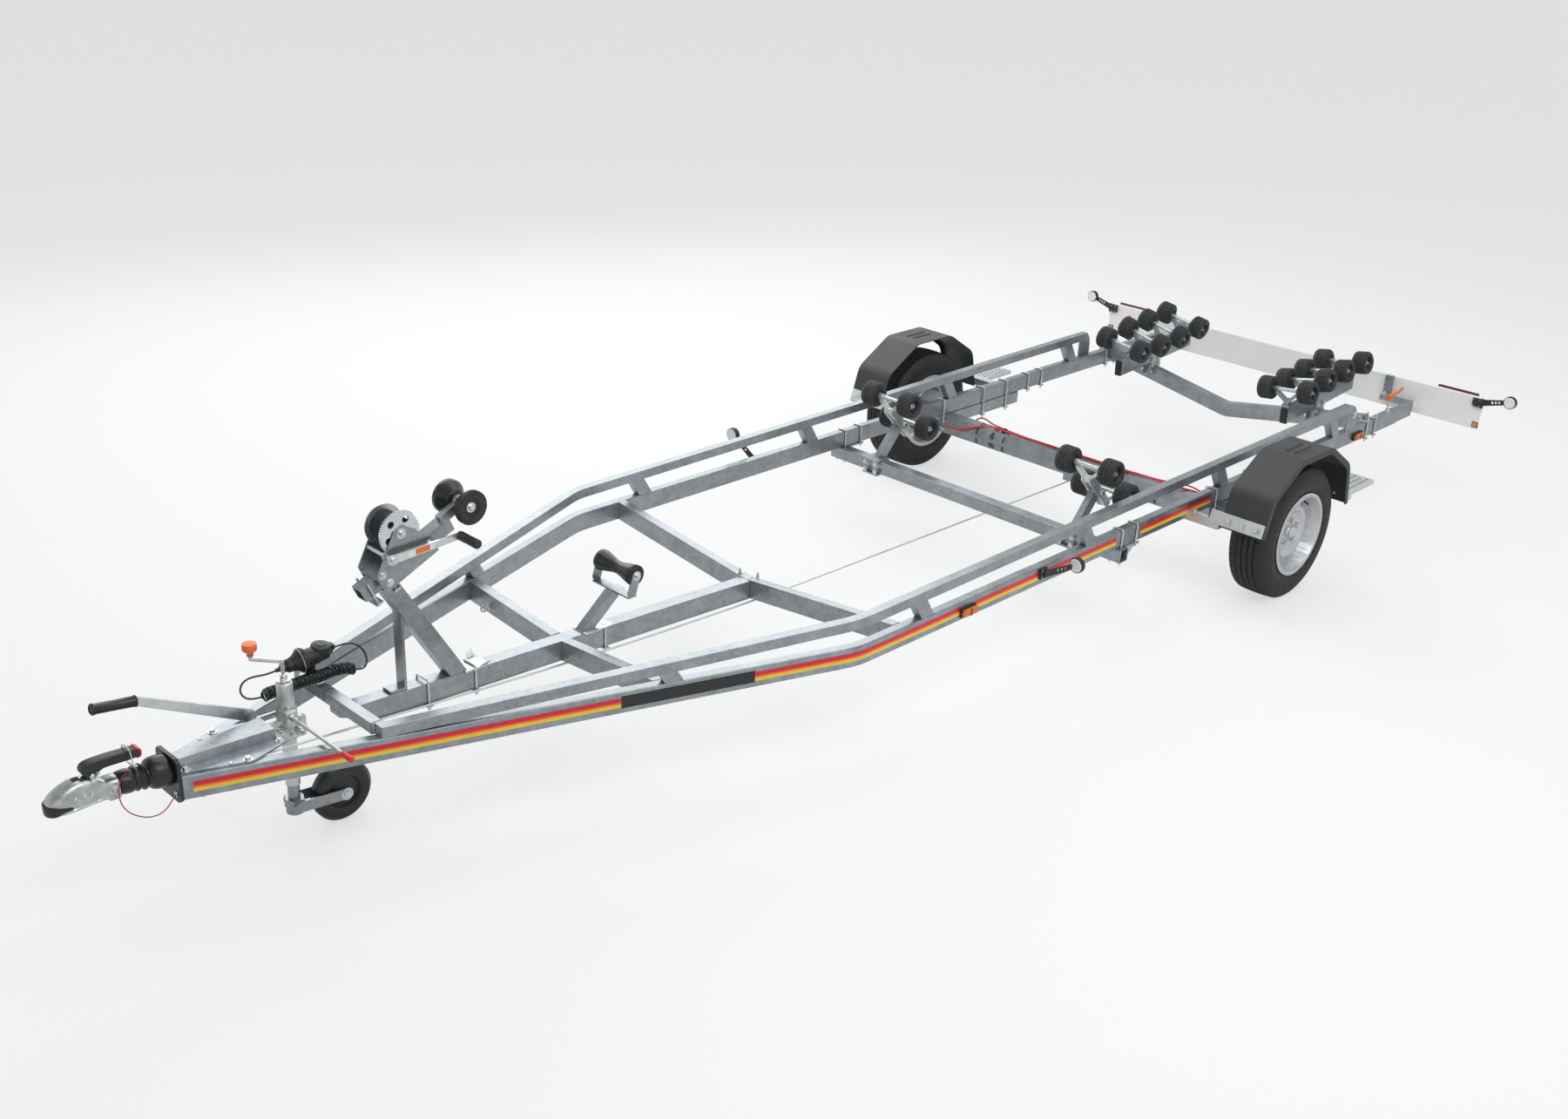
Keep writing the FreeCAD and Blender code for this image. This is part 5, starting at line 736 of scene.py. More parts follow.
def rail_line(x, proud):
    # Half width of the rail's outer face at station x, with the bend's arc.
    tangent_x = BEND_RADIUS * math.tan(BEND_ANGLE / 2)
    if x <= -tangent_x:
        y, n = RAIL_FACE, 0.0
    elif x >= tangent_x * math.cos(BEND_ANGLE):
        y, n = RAIL_FACE - math.tan(BEND_ANGLE) * x, BEND_ANGLE
    else:
        n = math.asin(max(-1, min(1, (x + tangent_x) / BEND_RADIUS)))
        y = RAIL_FACE - BEND_RADIUS * (1 - math.cos(n))
    return x + proud * math.sin(n), y + proud * math.cos(n)


def stripe(bm, x0, x1, z0, z1, sign, mat_index):
    xs = [x0, x1]
    if x0 < BEND_TO and x1 > BEND_FROM:
        xs += [x for x in BEND_STATIONS if x0 < x < x1]
    columns = []
    for x in sorted(xs):
        px, py = rail_line(x, STRIPE_PROUD)
        columns.append([bm.verts.new(P(px, sign * py, z)) for z in (z0, z1)])
    for (low, high), (next_low, next_high) in zip(columns, columns[1:]):
        bm.faces.new((low, next_low, next_high, high)).material_index = mat_index


# Bands of a stripe from top to bottom, then the black films beside them
STRIPE_RUNS = ((873, 2188), (-574, 347), (-1075, -663), (-1630, -1120), (-2385, -1815), (347, 397))
BANDS_OF_STRIPE = ((424.8, 440.5, 0), (417.6, 424.8, 1), (412.4, 417.6, 2), (411.4, 412.4, 1),
                   (405.2, 411.4, 2))
FILMS = ((-2385, -2190, 440.5, 447), (397, 873, 400.5, 446.5))
bm = bmesh.new()
for sign in (-1, 1):
    for x0, x1 in STRIPE_RUNS:
        for z0, z1, k in BANDS_OF_STRIPE:
            stripe(bm, x0, x1, z0, z1, sign, k)
    for film in FILMS:
        stripe(bm, *film, sign, 3)
finish_mesh("rail_stripes", bm, ["stripe_red", "stripe_orange", "stripe_yellow", "black_film"], "frame",
            smooth=False)

# Centre beam with its nose cut back under the front member
CENTRE_BEAM = [(1650, 461), (1610, 461), (-225, 374), (-225, 294), (1548, 378), (1612, 425), (1650, 440)]
CENTRE_HALF, CENTRE_DEPTH, CENTRE_FALL, CENTRE_RUN, CENTRE_NOSE = 30, 80, 87.0, 1835.0, 1610.0
bm = bmesh.new()
add_prism(bm, [P(x, -CENTRE_HALF, z) for x, z in CENTRE_BEAM], D(0, 2 * CENTRE_HALF, 0))
beam = bevelled(finish_mesh("centre_tube", bm, "galvanised", "frame", angle=30), 0.003, 2)
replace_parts(beam, "centre_beam")


def beam_top(x):
    return RAIL_TOP - CENTRE_FALL / CENTRE_RUN * max(CENTRE_NOSE - x, 0)


# U-bolts and small steel pieces on the frame
UBOLT_ROD, UBOLT_TAIL, UBOLT_BEND = 4.0, 20.0, 0.009


def ubolt(bm, x, y, half, top, low):
    # U-bolt over a tube that runs along the trailer, with a plate and nuts under it.
    reach = half + UBOLT_ROD
    path = smooth_path([P(x, y - reach, low - UBOLT_TAIL), P(x, y - reach, top + UBOLT_ROD),
                        P(x, y + reach, top + UBOLT_ROD), P(x, y + reach, low - UBOLT_TAIL)],
                       radius=UBOLT_BEND)
    add_tube(bm, path, UBOLT_ROD * MM, 10)
    add_box(bm, P(x - 13, y - half - 15, low - 5), P(x + 13, y + half + 15, low), 0.0014)
    for s in (-1, 1):
        add_hex(bm, P(x, y + s * reach, low - 5), -UP, 0.013, 0.008)


# Station, half width and underside of what each U-bolt holds to the rail
RAIL_UBOLTS = ((-1668, 20, 321), (-1779, 20, 381), (-2420, 25, 321), (-2750, 25, 321), (-2948, 25, 321),
               (-3145, 20, 381), (-3266, 20, 381))
bm = bmesh.new()
for sign in (-1, 1):
    y = sign * RAIL_Y
    for x, half, low in RAIL_UBOLTS:
        ubolt(bm, x, y, half, RAIL_TOP, low)
    add_box(bm, P(-1796, y - 30, 373), P(-1701, y + 30, 380.6), 0.001)
    add_prism(bm, [P(x, y + sign * 26, z) for x, z in ((-1796, 373), (-1701, 373), (-1701, 330),
            (-1760, 373))], D(0, sign * 5, 0))
finish_mesh("rail_ubolts", bm, "zinc", "frame")

WINCH_PLATE, KEEL_PLATE = beam_top(1115), beam_top(560)
bm = bmesh.new()
for x, over in ((1115, 9), (1310, 9), (532, 2)):
    ubolt(bm, x, 0, CENTRE_HALF, beam_top(x) + over, beam_top(x) - CENTRE_DEPTH)
add_box(bm, P(1060, -40, WINCH_PLATE + 0.6), P(1160, 40, WINCH_PLATE + 8), 0.002)
add_box(bm, P(500, -40, KEEL_PLATE + 0.8), P(630, 40, KEEL_PLATE + 7), 0.002)
for s in (-1, 1):
    add_prism(bm, [P(x, s * y, WINCH_PLATE + z) for x, y, z in ((1068, 40, 8), (1100, 40, 8), (1092, 58, 26),
                                                               (1066, 58, 26))], D(0, 0, 3))
finish_mesh("beam_ubolts", bm, "zinc", "frame")

# Clamp bolts of the rocker stands and of the rear beams, and the cross member bolts
HOUSING_TOP, STAND_Z = 467.2, 351
HOUSING_BOLTS = ((2190, 45, 0.017, 0.009, 0.0016), (2020, 112, 0.017, 0.009, 0.0016),
                 (2070, 97, 0.01, 0.003, 0), (1890, 74, 0.013, 0.007, 0.0016))
bm = bmesh.new()
for sign in (-1, 1):
    for off in (-31, 31):
        for dz in (-18, 18):
            y, z = sign * ROCKER_Y + off, STAND_Z + dz
            add_bolt(bm, P(-1710.0, y, z), -AHEAD, 0.013, 0.007, tail=0.008)
            add_bolt(bm, P(-1622.0, y, z), AHEAD, 0.013, 0.007)
    for s in (-1, 1):
        add_bolt(bm, P(PIVOT_X, sign * ROCKER_Y + s * 32.2, PIVOT_Z), LEFT * s, 0.022, 0.01)
        for z in (404, 440, 476):
            for x in (-3905, -3968):
                add_bolt(bm, P(x, sign * BEAM_Y + s * 25.2, z), LEFT * s, 0.015, 0.008)
for x, y in ((-240, -50), (-270, 23)):
    add_bolt(bm, P(x - 5, y, RAIL_TOP - CENTRE_FALL + 0.1 * abs(y)), UP, 0.015, 0.009, tail=0.01)
for sign in (-1, 1):
    for x, y, across, head, washer in HOUSING_BOLTS:
        add_bolt(bm, P(x, sign * y, HOUSING_TOP), UP, across, head, washer)
    for x, y in ((2150, 60), (2060, 84)):
        add_rod(bm, P(x, sign * y, 381), P(x, sign * y, 363), 0.005, 12, 0.0006)
        add_hex(bm, P(x, sign * y, 381), -UP, 0.015, 0.009)
finish_mesh("frame_bolts", bm, "zinc", "frame")

# Seams of the front member and an eyebolt
bm = bmesh.new()
for y in (-63, 219):
    add_box(bm, P(1609.6, y - 1.2, 461.5), P(1650.4, y + 1.2, 501.4))
finish_mesh("member_seams", bm, "inside", "frame", smooth=False)
bm = bmesh.new()
eye = P(742, -410, 398)
add_tube(bm, [eye + Vector((math.cos(TAU * i / 24), 0, math.sin(TAU * i / 24))) * 0.013 + D(17, 0, 0)
              for i in range(25)], 0.0042, 10)
add_rod(bm, eye - D(8, 0, 0), eye + D(6, 0, 0), 0.0045, 12)
add_rod(bm, P(735.3, -410, 398), P(737, -410, 398), 0.013, 20)
add_hex(bm, P(737, -410, 398), AHEAD, 0.015, 0.007)
finish_mesh("eyebolt", bm, "zinc", "frame")

# Coupling: cast head with its socket, nose cup, pivoted handle, rivets and catch
def skin(bm, rings, caps=True):
    loft(bm, [[bm.verts.new(p) for p in ring] for ring in rings], caps)


def head_ring(x, half, low, top, lip):
    # Section of the head: flat sides on a lip, and a domed top. HEAD lists these five values.
    wall = low + (top - low) * 0.5
    side_rows = [(half + lip, low), (half + lip, low + 4.5), (half + lip * 0.25, low + 7)]
    points = [P(x, -y, z) for y, z in side_rows]
    for k in range(17):
        c, s = math.cos(math.pi * k / 16), math.sin(math.pi * k / 16)
        points.append(P(x, -half * math.copysign(abs(c) ** 0.6, c), wall + (top - wall) * s ** 0.75))
    return points + [P(x, y, z) for y, z in reversed(side_rows)]


DRAW_Z, NECK_RADIUS = 452, 0.012
HEAD = [(2386, 30, 450, 508, 0), (2388, 32.5, 447, 511, 0), (2420, 33, 447, 512, 0), (2423, 31, 450, 510, 0),
        (2428, 30, 455, 513, 1.5), (2440, 30, 458, 521, 3.5), (2460, 31, 459, 533, 4),
        (2482, 32.5, 459, 539.5, 4), (2502, 34, 459, 541, 4), (2520, 35, 459, 539.5, 4),
        (2540, 35.5, 459, 533, 3.5), (2558, 35, 459, 525, 2.5), (2572, 33.5, 459, 517, 1),
        (2584, 30, 460, 508, 0), (2593, 24.5, 462, 499, 0), (2599, 17, 465, 491, 0), (2602.5, 9, 469, 484, 0),
        (2603.5, 3.5, 473, 480, 0)]
bm = bmesh.new()
skin(bm, [head_ring(*row) for row in HEAD])
add_rod(bm, P(2040, 0, DRAW_Z), P(2292, 0, DRAW_Z), 0.0248, 40)
add_rod(bm, P(2290, 0, DRAW_Z), P(2336, 0, DRAW_Z), NECK_RADIUS, 24)
add_tube(bm, [P(2330, 0, DRAW_Z), P(2340, 0, 456), P(2390, 0, 476)], NECK_RADIUS, 20)
head = finish_mesh("cast_head", bm, "cast_zinc", "coupling", angle=42)
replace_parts(head, "coupling_head")
bm = bmesh.new()
add_lathe(bm, P(2560, 0, 458.8), UP, [(0.0268, -0.0022), (0.025, -0.0022), (0.025, 0.0002)], 36, caps=False)
add_lathe(bm, P(2560, 0, 458.7), UP, [(0.025, 0), (0.0001, -0.0001)], 36, caps=False)
finish_mesh("ball_socket", bm, "inside", "coupling")


def nose(offset):
    points = []
    for i in range(25):
        ang = math.radians(-90 + 180 * i / 24)
        points.append((2569 + (34.5 + offset) * math.cos(ang), (35.5 + offset) * math.sin(ang)))
    return [(2532, -36 - offset)] + points + [(2532, 36 + offset)]


def cup_level(x, low, high):
    share = min(1, max(0, (x - 2532) / 70))
    return low + (high - low) * share * share * (3 - 2 * share)


bm = bmesh.new()
CUP = ((-4, 476, 493), (0.2, 475, 492), (0.9, 473, 489), (0.9, 470, 474), (0.6, 466, 462), (-1.5, 463, 456),
       (-6, 461.5, 452.5), (-12, 462, 452))
skin(bm, [[P(px, py, cup_level(px, low, high)) for px, py in nose(off)] for off, low, high in CUP],
     caps=False)
finish_mesh("nose_cup", bm, "smooth_rubber", "coupling", angle=60)

HANDLE = [(2443, 538), (2449, 531), (2459, 528), (2469, 531), (2477, 541), (2486, 556), (2487, 566),
          (2481, 577), (2469, 583), (2445, 585), (2400, 584), (2330, 580), (2316, 577), (2308, 571),
          (2306, 562), (2308, 555), (2316, 550.5), (2340, 550), (2400, 553), (2422, 553), (2434, 548)]
HANDLE_HALF = 18
bm = bmesh.new()
add_prism(bm, [P(x, -HANDLE_HALF, z) for x, z in HANDLE], D(0, 2 * HANDLE_HALF, 0))
handle = bevelled(finish_mesh("moulded_handle", bm, "moulded", "coupling", angle=60), 0.0042, 3, 50)
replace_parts(handle, "coupling_handle")
bm = bmesh.new()
for s in (-1, 1):
    for k in range(6):
        x = 2334 + k * 13
        add_box(bm, P(x, s * 18.1 - 0.6, 556), P(x + 7, s * 18.1 + 0.6, 573), 0.0005)
    add_box(bm, P(2418, s * 18.1 - 0.7, 558), P(2468, s * 18.1 + 0.7, 576), 0.0006)
finish_mesh("handle_grip_ribs", bm, "moulded", "coupling")
bm = bmesh.new()
add_prism(bm, [P(x, -18.6, z) for x, z in ((2318, 581), (2308, 577), (2304.5, 570), (2304.5, 558),
                                           (2308, 550), (2318, 547.5), (2322, 549), (2312, 554),
                                           (2309.5, 560), (2309.5, 568), (2312, 573), (2322, 579.5))],
          D(0, 37.2, 0))
bevelled(finish_mesh("handle_end", bm, "red_plastic", "coupling", angle=60), 0.0016, 2, 40)

bm = bmesh.new()
for s in (-1, 1):
    add_lathe(bm, P(2459, s * 18, 541), LEFT * s, [(0.0085, 0), (0.0085, 0.0025), (0.0062, 0.0045),
            (0.002, 0.0052)], 24)
    for x, z in ((2521, 501), (2494, 500), (2473, 496)):
        add_lathe(bm, P(x, s * 33.0, z - 5), LEFT * s, [(0.006, 0), (0.006, 0.0026), (0.0042, 0.004),
                (0.001, 0.0045)], 20)
    add_box(bm, P(2440, s * 33.5 - 3, 461), P(2535, s * 33.5 + 3, 463.5), 0.001)
    add_bolt(bm, P(2404, s * 32.4, 478), LEFT * s, 0.017, 0.008, tail=0.003)
add_rod(bm, P(2459, -26, 522), P(2459, 26, 522), 0.01, 20, 0.001)
for s in (-1, 1):
    add_prism(bm, [P(2447, s * 21, 505), P(2473, s * 21, 505), P(2467, s * 21, 534), P(2452, s * 21, 534)],
              D(0, s * 3, 0))
wire = [P(2450, 22, 548), P(2446, 24, 553), P(2439, 24, 549), P(2440, 23, 540), P(2449, 22, 535)]
add_tube(bm, smooth_path(wire, radius=0.006), 0.0013, 8)
finish_mesh("coupling_pins", bm, "zinc", "coupling")
bm = bmesh.new()
add_box(bm, P(2492, -9, 536), P(2514, 9, 543.0), 0.0025)
finish_mesh("catch_window", bm, "inside", "coupling")
bm = bmesh.new()
for x, y, rad in ((2546, 8, 0.0034), (2553, 2, 0.003), (2541, 14, 0.0022)):
    add_lathe(bm, P(x, y, 531.5 - (x - 2540) * 0.42), Vector((0.42, 0, 1)), [(rad, 0), (rad * 0.8, 0.0012)],
              14)
finish_mesh("wear_mark", bm, "green_mark", "coupling")

# Ring that holds the end of the breakaway cable round the handle's grip, and the cable's eye on the end plate
bm = bmesh.new()
hook = [P(2344, 36, 540), P(2344, 35, 560), P(2344, 27, 585), P(2344, 8, 590.5), P(2344, -8, 590.5),
        P(2344, -27, 585), P(2344, -29, 560), P(2344, -24, 540), P(2344, 0, 537), P(2344, 30, 536.5)]
add_tube(bm, smooth_path(hook, steps=5, radius=0.012), 0.0021, 8)
add_lathe(bm, P(2344, 36, 540) - D(12, -1.6, 4.8), Vector((0.92, 0.12, 0.38)),
          [(0.0026, 0), (0.0034, 0.001), (0.0034, 0.011), (0.0026, 0.012)], 14)
finish_mesh("breakaway_clip", bm, "zinc", "frame")
bm = bmesh.new()
eye = P(2229.2, 44.4, 395)
add_tube(bm, [eye + Vector((0.3 * math.sin(TAU * i / 20), math.cos(TAU * i / 20),
                            0.95 * math.sin(TAU * i / 20))) * 0.0075 for i in range(21)], 0.0017, 8)
add_lathe(bm, P(2227.2, 45, 403), AHEAD, [(0.007, 0), (0.007, 0.0018), (0.0045, 0.0045), (0.001, 0.005)], 16)
finish_mesh("breakaway_eye", bm, "zinc", "frame")

# Plug in the parking socket on the right rail, with its wire clip and holder
plug_way = (SOCKET_BACK - PLUG_FRONT).normalized()
bm = bmesh.new()
add_lathe(bm, PLUG_FRONT, plug_way, [(0.0044, 0), (0.0062, 0.001), (0.0072, 0.01), (0.0105, 0.02),
                                     (0.015, 0.021), (0.0162, 0.023), (0.0162, 0.034), (0.015, 0.0355),
                                     (0.0185, 0.0362), (0.0205, 0.039), (0.0215, 0.046), (0.0222, 0.06),
                                     (0.0252, 0.0612), (0.0264, 0.066), (0.0295, 0.073), (0.036, 0.082),
                                     (0.041, 0.09), (0.043, 0.096), (0.043, 0.1005), (0.0395, 0.102)], 48)
u, v, w = basis(plug_way)
for k in range(16):
    out = u * math.cos(TAU * k / 16) + v * math.sin(TAU * k / 16)
    add_rod(bm, PLUG_FRONT + w * 0.0415 + out * 0.0212, PLUG_FRONT + w * 0.0595 + out * 0.0224, 0.0017, 8,
            0.0006)
plug = finish_mesh("rubber_plug", bm, "moulded", "frame", angle=38)
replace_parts(plug, "plug")
bm = bmesh.new()
add_lathe(bm, PLUG_FRONT, plug_way, [(0.038, 0.1026), (0.0388, 0.1032), (0.0388, 0.1075), (0.034, 0.109),
                                     (0.0312, 0.1105), (0.031, 0.15), (0.0292, 0.16), (0.027, 0.186),
                                     (0.0235, 0.1895), (0.0162, 0.1905), (0.0155, 0.204), (0.0105, 0.206),
                                     (0.0066, 0.215), (0.0044, 0.2194)], 48)
lid = P(1592, -165, 589)
add_lathe(bm, lid, Vector((-0.06, 0.1, 1)), [(0.03, 0), (0.0335, 0.003), (0.0335, 0.021), (0.0315, 0.0265),
        (0.024, 0.0295), (0.0001, 0.0305)], 40)
add_lathe(bm, lid + D(-2, 3, 30), Vector((-0.06, 0.1, 1)), [(0.019, 0), (0.0182, 0.0022), (0.0001, 0.003)],
          32)
add_box(bm, P(1544, -179, 588), P(1562, -151, 606), 0.0025)
add_rod(bm, P(1552, -182, 602), P(1552, -148, 602), 0.0045, 16, 0.001)
for k in range(5):
    add_box(bm, P(1648 - k * 7, -134.6, 567), P(1651 - k * 7, -132.6, 590), 0.0005)
add_box(bm, P(1604, -187, 501.2), P(1642, -183, 571), 0.0012)
add_box(bm, P(1598, -187, 501.2), P(1648, -143, 505), 0.0012)
socket = finish_mesh("parking_socket", bm, "moulded", "frame", angle=38)
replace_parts(socket, "plug_holder")
bm = bmesh.new()
ring = [PLUG_FRONT + w * (0.0905 + 0.006 * math.sin(TAU * i / 40 - 1.0))
        + (u * math.cos(TAU * i / 40) + v * math.sin(TAU * i / 40)) * 0.0438 for i in range(41)]
add_tube(bm, ring, 0.0013, 8)
add_tube(bm, smooth_path([P(1664, -136, 541), P(1660, -134, 525), P(1650, -146, 513), P(1640, -152, 506)],
                         radius=0.012), 0.0013, 8)
for x, y in ((1606, -151), (1638, -151)):
    add_bolt(bm, P(x, y, 505), UP, 0.01, 0.005)
finish_mesh("plug_wire_clip", bm, "zinc", "frame")

# Grip and bolts of the handbrake lever
neck, tip = P(2258, -94, 673), P(2391, -94, 692)
way = (tip - neck).normalized()
bm = bmesh.new()
length = (tip - neck).length
add_lathe(bm, neck - way * 0.002, way, [(0.0152, 0), (0.0185, 0.001), (0.019, 0.004), (0.0172, 0.007),
                                        (0.0166, length * 0.5), (0.017, length - 0.006),
                                        (0.0186, length - 0.003), (0.0186, length + 0.002),
                                        (0.0165, length + 0.005), (0.0105, length + 0.006),
                                        (0.0095, length - 0.004)], 36)
finish_mesh("handbrake_grip", bm, "smooth_rubber", "handbrake", angle=40)
bm = bmesh.new()
for s in (-1, 1):
    add_bolt(bm, P(2262, -94 + s * 6.3, 668), LEFT * s, 0.01, 0.004)
add_bolt(bm, P(1899, -106.2, 492), -LEFT, 0.019, 0.008)
finish_mesh("handbrake_bolts", bm, "zinc", "handbrake")

# Jockey wheel: sleeve, cast clamp body, crank nut, knob, lever sleeve and axle nuts
JOCKEY_X, JOCKEY_Y, JOCKEY_AXLE_X, JOCKEY_WHEEL_RADIUS = 1785, -65, 1612, 110
bm = bmesh.new()
add_lathe(bm, P(JOCKEY_X, JOCKEY_Y, 446), UP, [(0.0268, 0), (0.0274, 0.001), (0.0274, 0.132), (0.0268, 0.136),
        (0.025, 0.1385), (0.0215, 0.1395), (0.0135, 0.14), (0.0135, 0.13)], 48, caps=False)
finish_mesh("jack_sleeve", bm, "pale_zinc", "frame", angle=45)
bm = bmesh.new()
add_lathe(bm, P(JOCKEY_X, JOCKEY_Y, 388), UP, [(0.03, 0), (0.039, 0.001), (0.043, 0.006), (0.0445, 0.016),
        (0.0445, 0.044), (0.043, 0.052), (0.0385, 0.0585), (0.0325, 0.0625), (0.029, 0.07), (0.0278, 0.078)],
          48, caps=False)
add_box(bm, P(JOCKEY_X + 22, JOCKEY_Y - 20, 406), P(JOCKEY_X + 88, JOCKEY_Y + 20, 459.5), 0.008)
add_box(bm, P(JOCKEY_X - 12, JOCKEY_Y + 24, 452), P(JOCKEY_X + 32, JOCKEY_Y + 56, 500), 0.009)
add_box(bm, P(JOCKEY_X - 30, JOCKEY_Y + 34, 402), P(JOCKEY_X - 8, JOCKEY_Y + 58, 436), 0.006)
add_box(bm, P(JOCKEY_X - 62, JOCKEY_Y - 12, 404), P(JOCKEY_X - 36, JOCKEY_Y + 12, 444), 0.006)
for s in (-1, 1):
    add_prism(bm, [P(JOCKEY_X + 20, JOCKEY_Y + s * 36, 459), P(JOCKEY_X + 85, JOCKEY_Y + s * 46, 461),
                   P(JOCKEY_X + 85, JOCKEY_Y + s * 46, 466), P(JOCKEY_X + 20, JOCKEY_Y + s * 36, 470)],
              D(0, -s * 7, 0))
finish_mesh("jack_clamp_body", bm, "cast_pale", "frame", angle=45)
bm = bmesh.new()
add_hex(bm, P(JOCKEY_X, JOCKEY_Y, 587), UP, 0.024, 0.012)
add_lathe(bm, P(JOCKEY_X, JOCKEY_Y, 599), UP, [(0.0112, 0), (0.0118, 0.002), (0.0118, 0.01),
        (0.0098, 0.0125)], 28)
finish_mesh("crank_nut", bm, "zinc", "jockey_handle")
KNOB_BASE, KNOB_STEPS, KNOB_WAVE = P(1891, JOCKEY_Y, 711.3), 48, 0.0013
bm = bmesh.new()
rings = []
for rad, h, waves in ((0.0085, 0, 0), (0.0105, 0.002, 0), (0.0118, 0.016, 0), (0.0135, 0.0175, 0.2),
                      (0.0215, 0.0215, 1), (0.024, 0.025, 1), (0.0243, 0.041, 1), (0.0225, 0.045, 1),
                      (0.015, 0.0462, 0.3), (0.0001, 0.0465, 0)):
    ring = []
    for i in range(KNOB_STEPS):
        ang = TAU * i / KNOB_STEPS
        r = rad - KNOB_WAVE * waves * (1 - abs(math.cos(3 * ang)))
        ring.append(bm.verts.new(KNOB_BASE + (AHEAD * math.cos(ang) + LEFT * math.sin(ang)) * r
                                 + Vector((0, 0, h))))
    rings.append(ring)
loft(bm, rings, caps=False)
bm.faces.new(rings[0])
finish_mesh("crank_knob", bm, "orange", "jockey_handle", angle=50)
bm = bmesh.new()
add_lathe(bm, P(1795, 283, 478), LEFT, [(0.0062, 0), (0.008, 0.001), (0.0092, 0.012), (0.0105, 0.05),
                                        (0.0098, 0.057), (0.006, 0.0605)], 28)
finish_mesh("lever_sleeve", bm, "red_plastic", "frame", angle=50)
bm = bmesh.new()
for ang, z in ((0.6, 425), (1.25, 412), (2.3, 425), (3.9, 425), (5.2, 425)):
    out = Vector((math.cos(ang), math.sin(ang), 0))
    add_bolt(bm, P(JOCKEY_X, JOCKEY_Y, z) + out * 0.0443, out, 0.015, 0.009, tail=0.008)
add_bolt(bm, P(JOCKEY_X - 19, JOCKEY_Y + 58, 419), LEFT, 0.017, 0.01, tail=0.006)
add_bolt(bm, P(1795, -9, 478), LEFT, 0.021, 0.012)
add_lathe(bm, P(1795, 3, 478), LEFT, [(0.009, 0), (0.009, 0.01), (0.0062, 0.014)], 24)
finish_mesh("jockey_clamp_bolts", bm, "zinc", "frame")
bm = bmesh.new()
for s in (-1, 1):
    add_bolt(bm, P(JOCKEY_AXLE_X, JOCKEY_Y + s * 40.2, JOCKEY_WHEEL_RADIUS), LEFT * s, 0.024, 0.008)
finish_mesh("jockey_axle_nuts", bm, "zinc", "jockey_caster")
bm = bmesh.new()
for s in (-1, 1):
    add_lathe(bm, P(JOCKEY_AXLE_X, JOCKEY_Y + s * 18.2, JOCKEY_WHEEL_RADIUS), LEFT * s,
              [(0.06, 0), (0.058, 0.002), (0.04, 0.004), (0.024, 0.01), (0.0206, 0.0105)], 40, caps=False)
finish_mesh("jockey_hub_discs", bm, "moulded", "jockey_roller")

# Winch: strap layers, axle nuts, crank grip and plates
ARM_SIN, ARM_COS = math.sin(math.radians(24.9)), math.cos(math.radians(24.9))


def on_arm(along, above, y=0.0):
    return P(1530 + along * ARM_COS + above * ARM_SIN, y, 840 - along * ARM_SIN + above * ARM_COS)


DRUM_ABOVE, DRUM_ALONG, PINION_ALONG, GEAR_DISTANCE = 123, -203, -125, 87.6
drum = on_arm(DRUM_ALONG, DRUM_ABOVE)
pinion_above = DRUM_ABOVE - math.sqrt(GEAR_DISTANCE ** 2 - (PINION_ALONG - DRUM_ALONG) ** 2)
pinion = on_arm(PINION_ALONG, pinion_above)
bm = bmesh.new()
STRAP_TURNS, STRAP_STEP, STRAP_EDGE = 14, 0.0018, 0.0013
profile = [(0.0245, -0.0435)]
for k in range(STRAP_TURNS):
    rad = 0.0255 + k * STRAP_STEP
    profile += [(rad, -0.0432), (rad + STRAP_EDGE, -0.0437)]
profile += [(0.0505, -0.0425), (0.0508, -0.012), (0.0504, 0.006), (0.0507, 0.0385)]
for k in range(STRAP_TURNS):
    rad = 0.0501 - k * STRAP_STEP
    profile += [(rad, 0.0394), (rad - STRAP_EDGE, 0.0399)]
profile += [(0.0245, 0.0395)]
add_lathe(bm, drum, LEFT, profile, 56, caps=False)
strap = finish_mesh("wound_strap", bm, "webbing", "winch_reel", angle=60)
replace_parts(strap, "winch_strap")
bm = bmesh.new()
for s in (-1, 1):
    add_bolt(bm, drum + Vector((0, s * 0.0582, 0)), LEFT * s, 0.019, 0.011, tail=0.004)
    for along, above in ((-80, 40), (-272, 20), (-90, 0)):
        add_bolt(bm, on_arm(along, above, s * 57.7), LEFT * s, 0.015, 0.008)
for along in (-30, -105):
    for s in (-1, 1):
        add_tube(bm, smooth_path([on_arm(along, -60, s * 34), on_arm(along, 30, s * 34)], radius=0.01), 0.004,
                 10)
        add_hex(bm, on_arm(along, -52, s * 34), (on_arm(0, -1) - on_arm(0, 0)).normalized(), 0.013, 0.008)
    add_prism(bm, [on_arm(along - 14, -46, -48), on_arm(along + 14, -46, -48), on_arm(along + 14, -46, 48),
                   on_arm(along - 14, -46, 48)], (on_arm(0, -6) - on_arm(0, 0)))
finish_mesh("winch_bolts", bm, "zinc", "frame")
CRANK_TURN, CRANK_REACH = math.radians(22), 262
grip = on_arm(PINION_ALONG - CRANK_REACH * math.cos(CRANK_TURN),
              pinion_above - CRANK_REACH * math.sin(CRANK_TURN))
bm = bmesh.new()
add_lathe(bm, grip + D(0, 84, 0), LEFT, [(0.012, 0), (0.0155, 0.002), (0.0165, 0.006), (0.0158, 0.05),
                                         (0.0165, 0.092), (0.0165, 0.097), (0.014, 0.1005), (0.0075, 0.101)],
          32)
finish_mesh("winch_grip", bm, "moulded", "winch_handle", angle=40)
bm = bmesh.new()
add_bolt(bm, pinion + D(0, 88.2, 0), LEFT, 0.019, 0.01)
finish_mesh("winch_crank_nut", bm, "zinc", "winch_handle")
LABEL_HALF = 0.0098
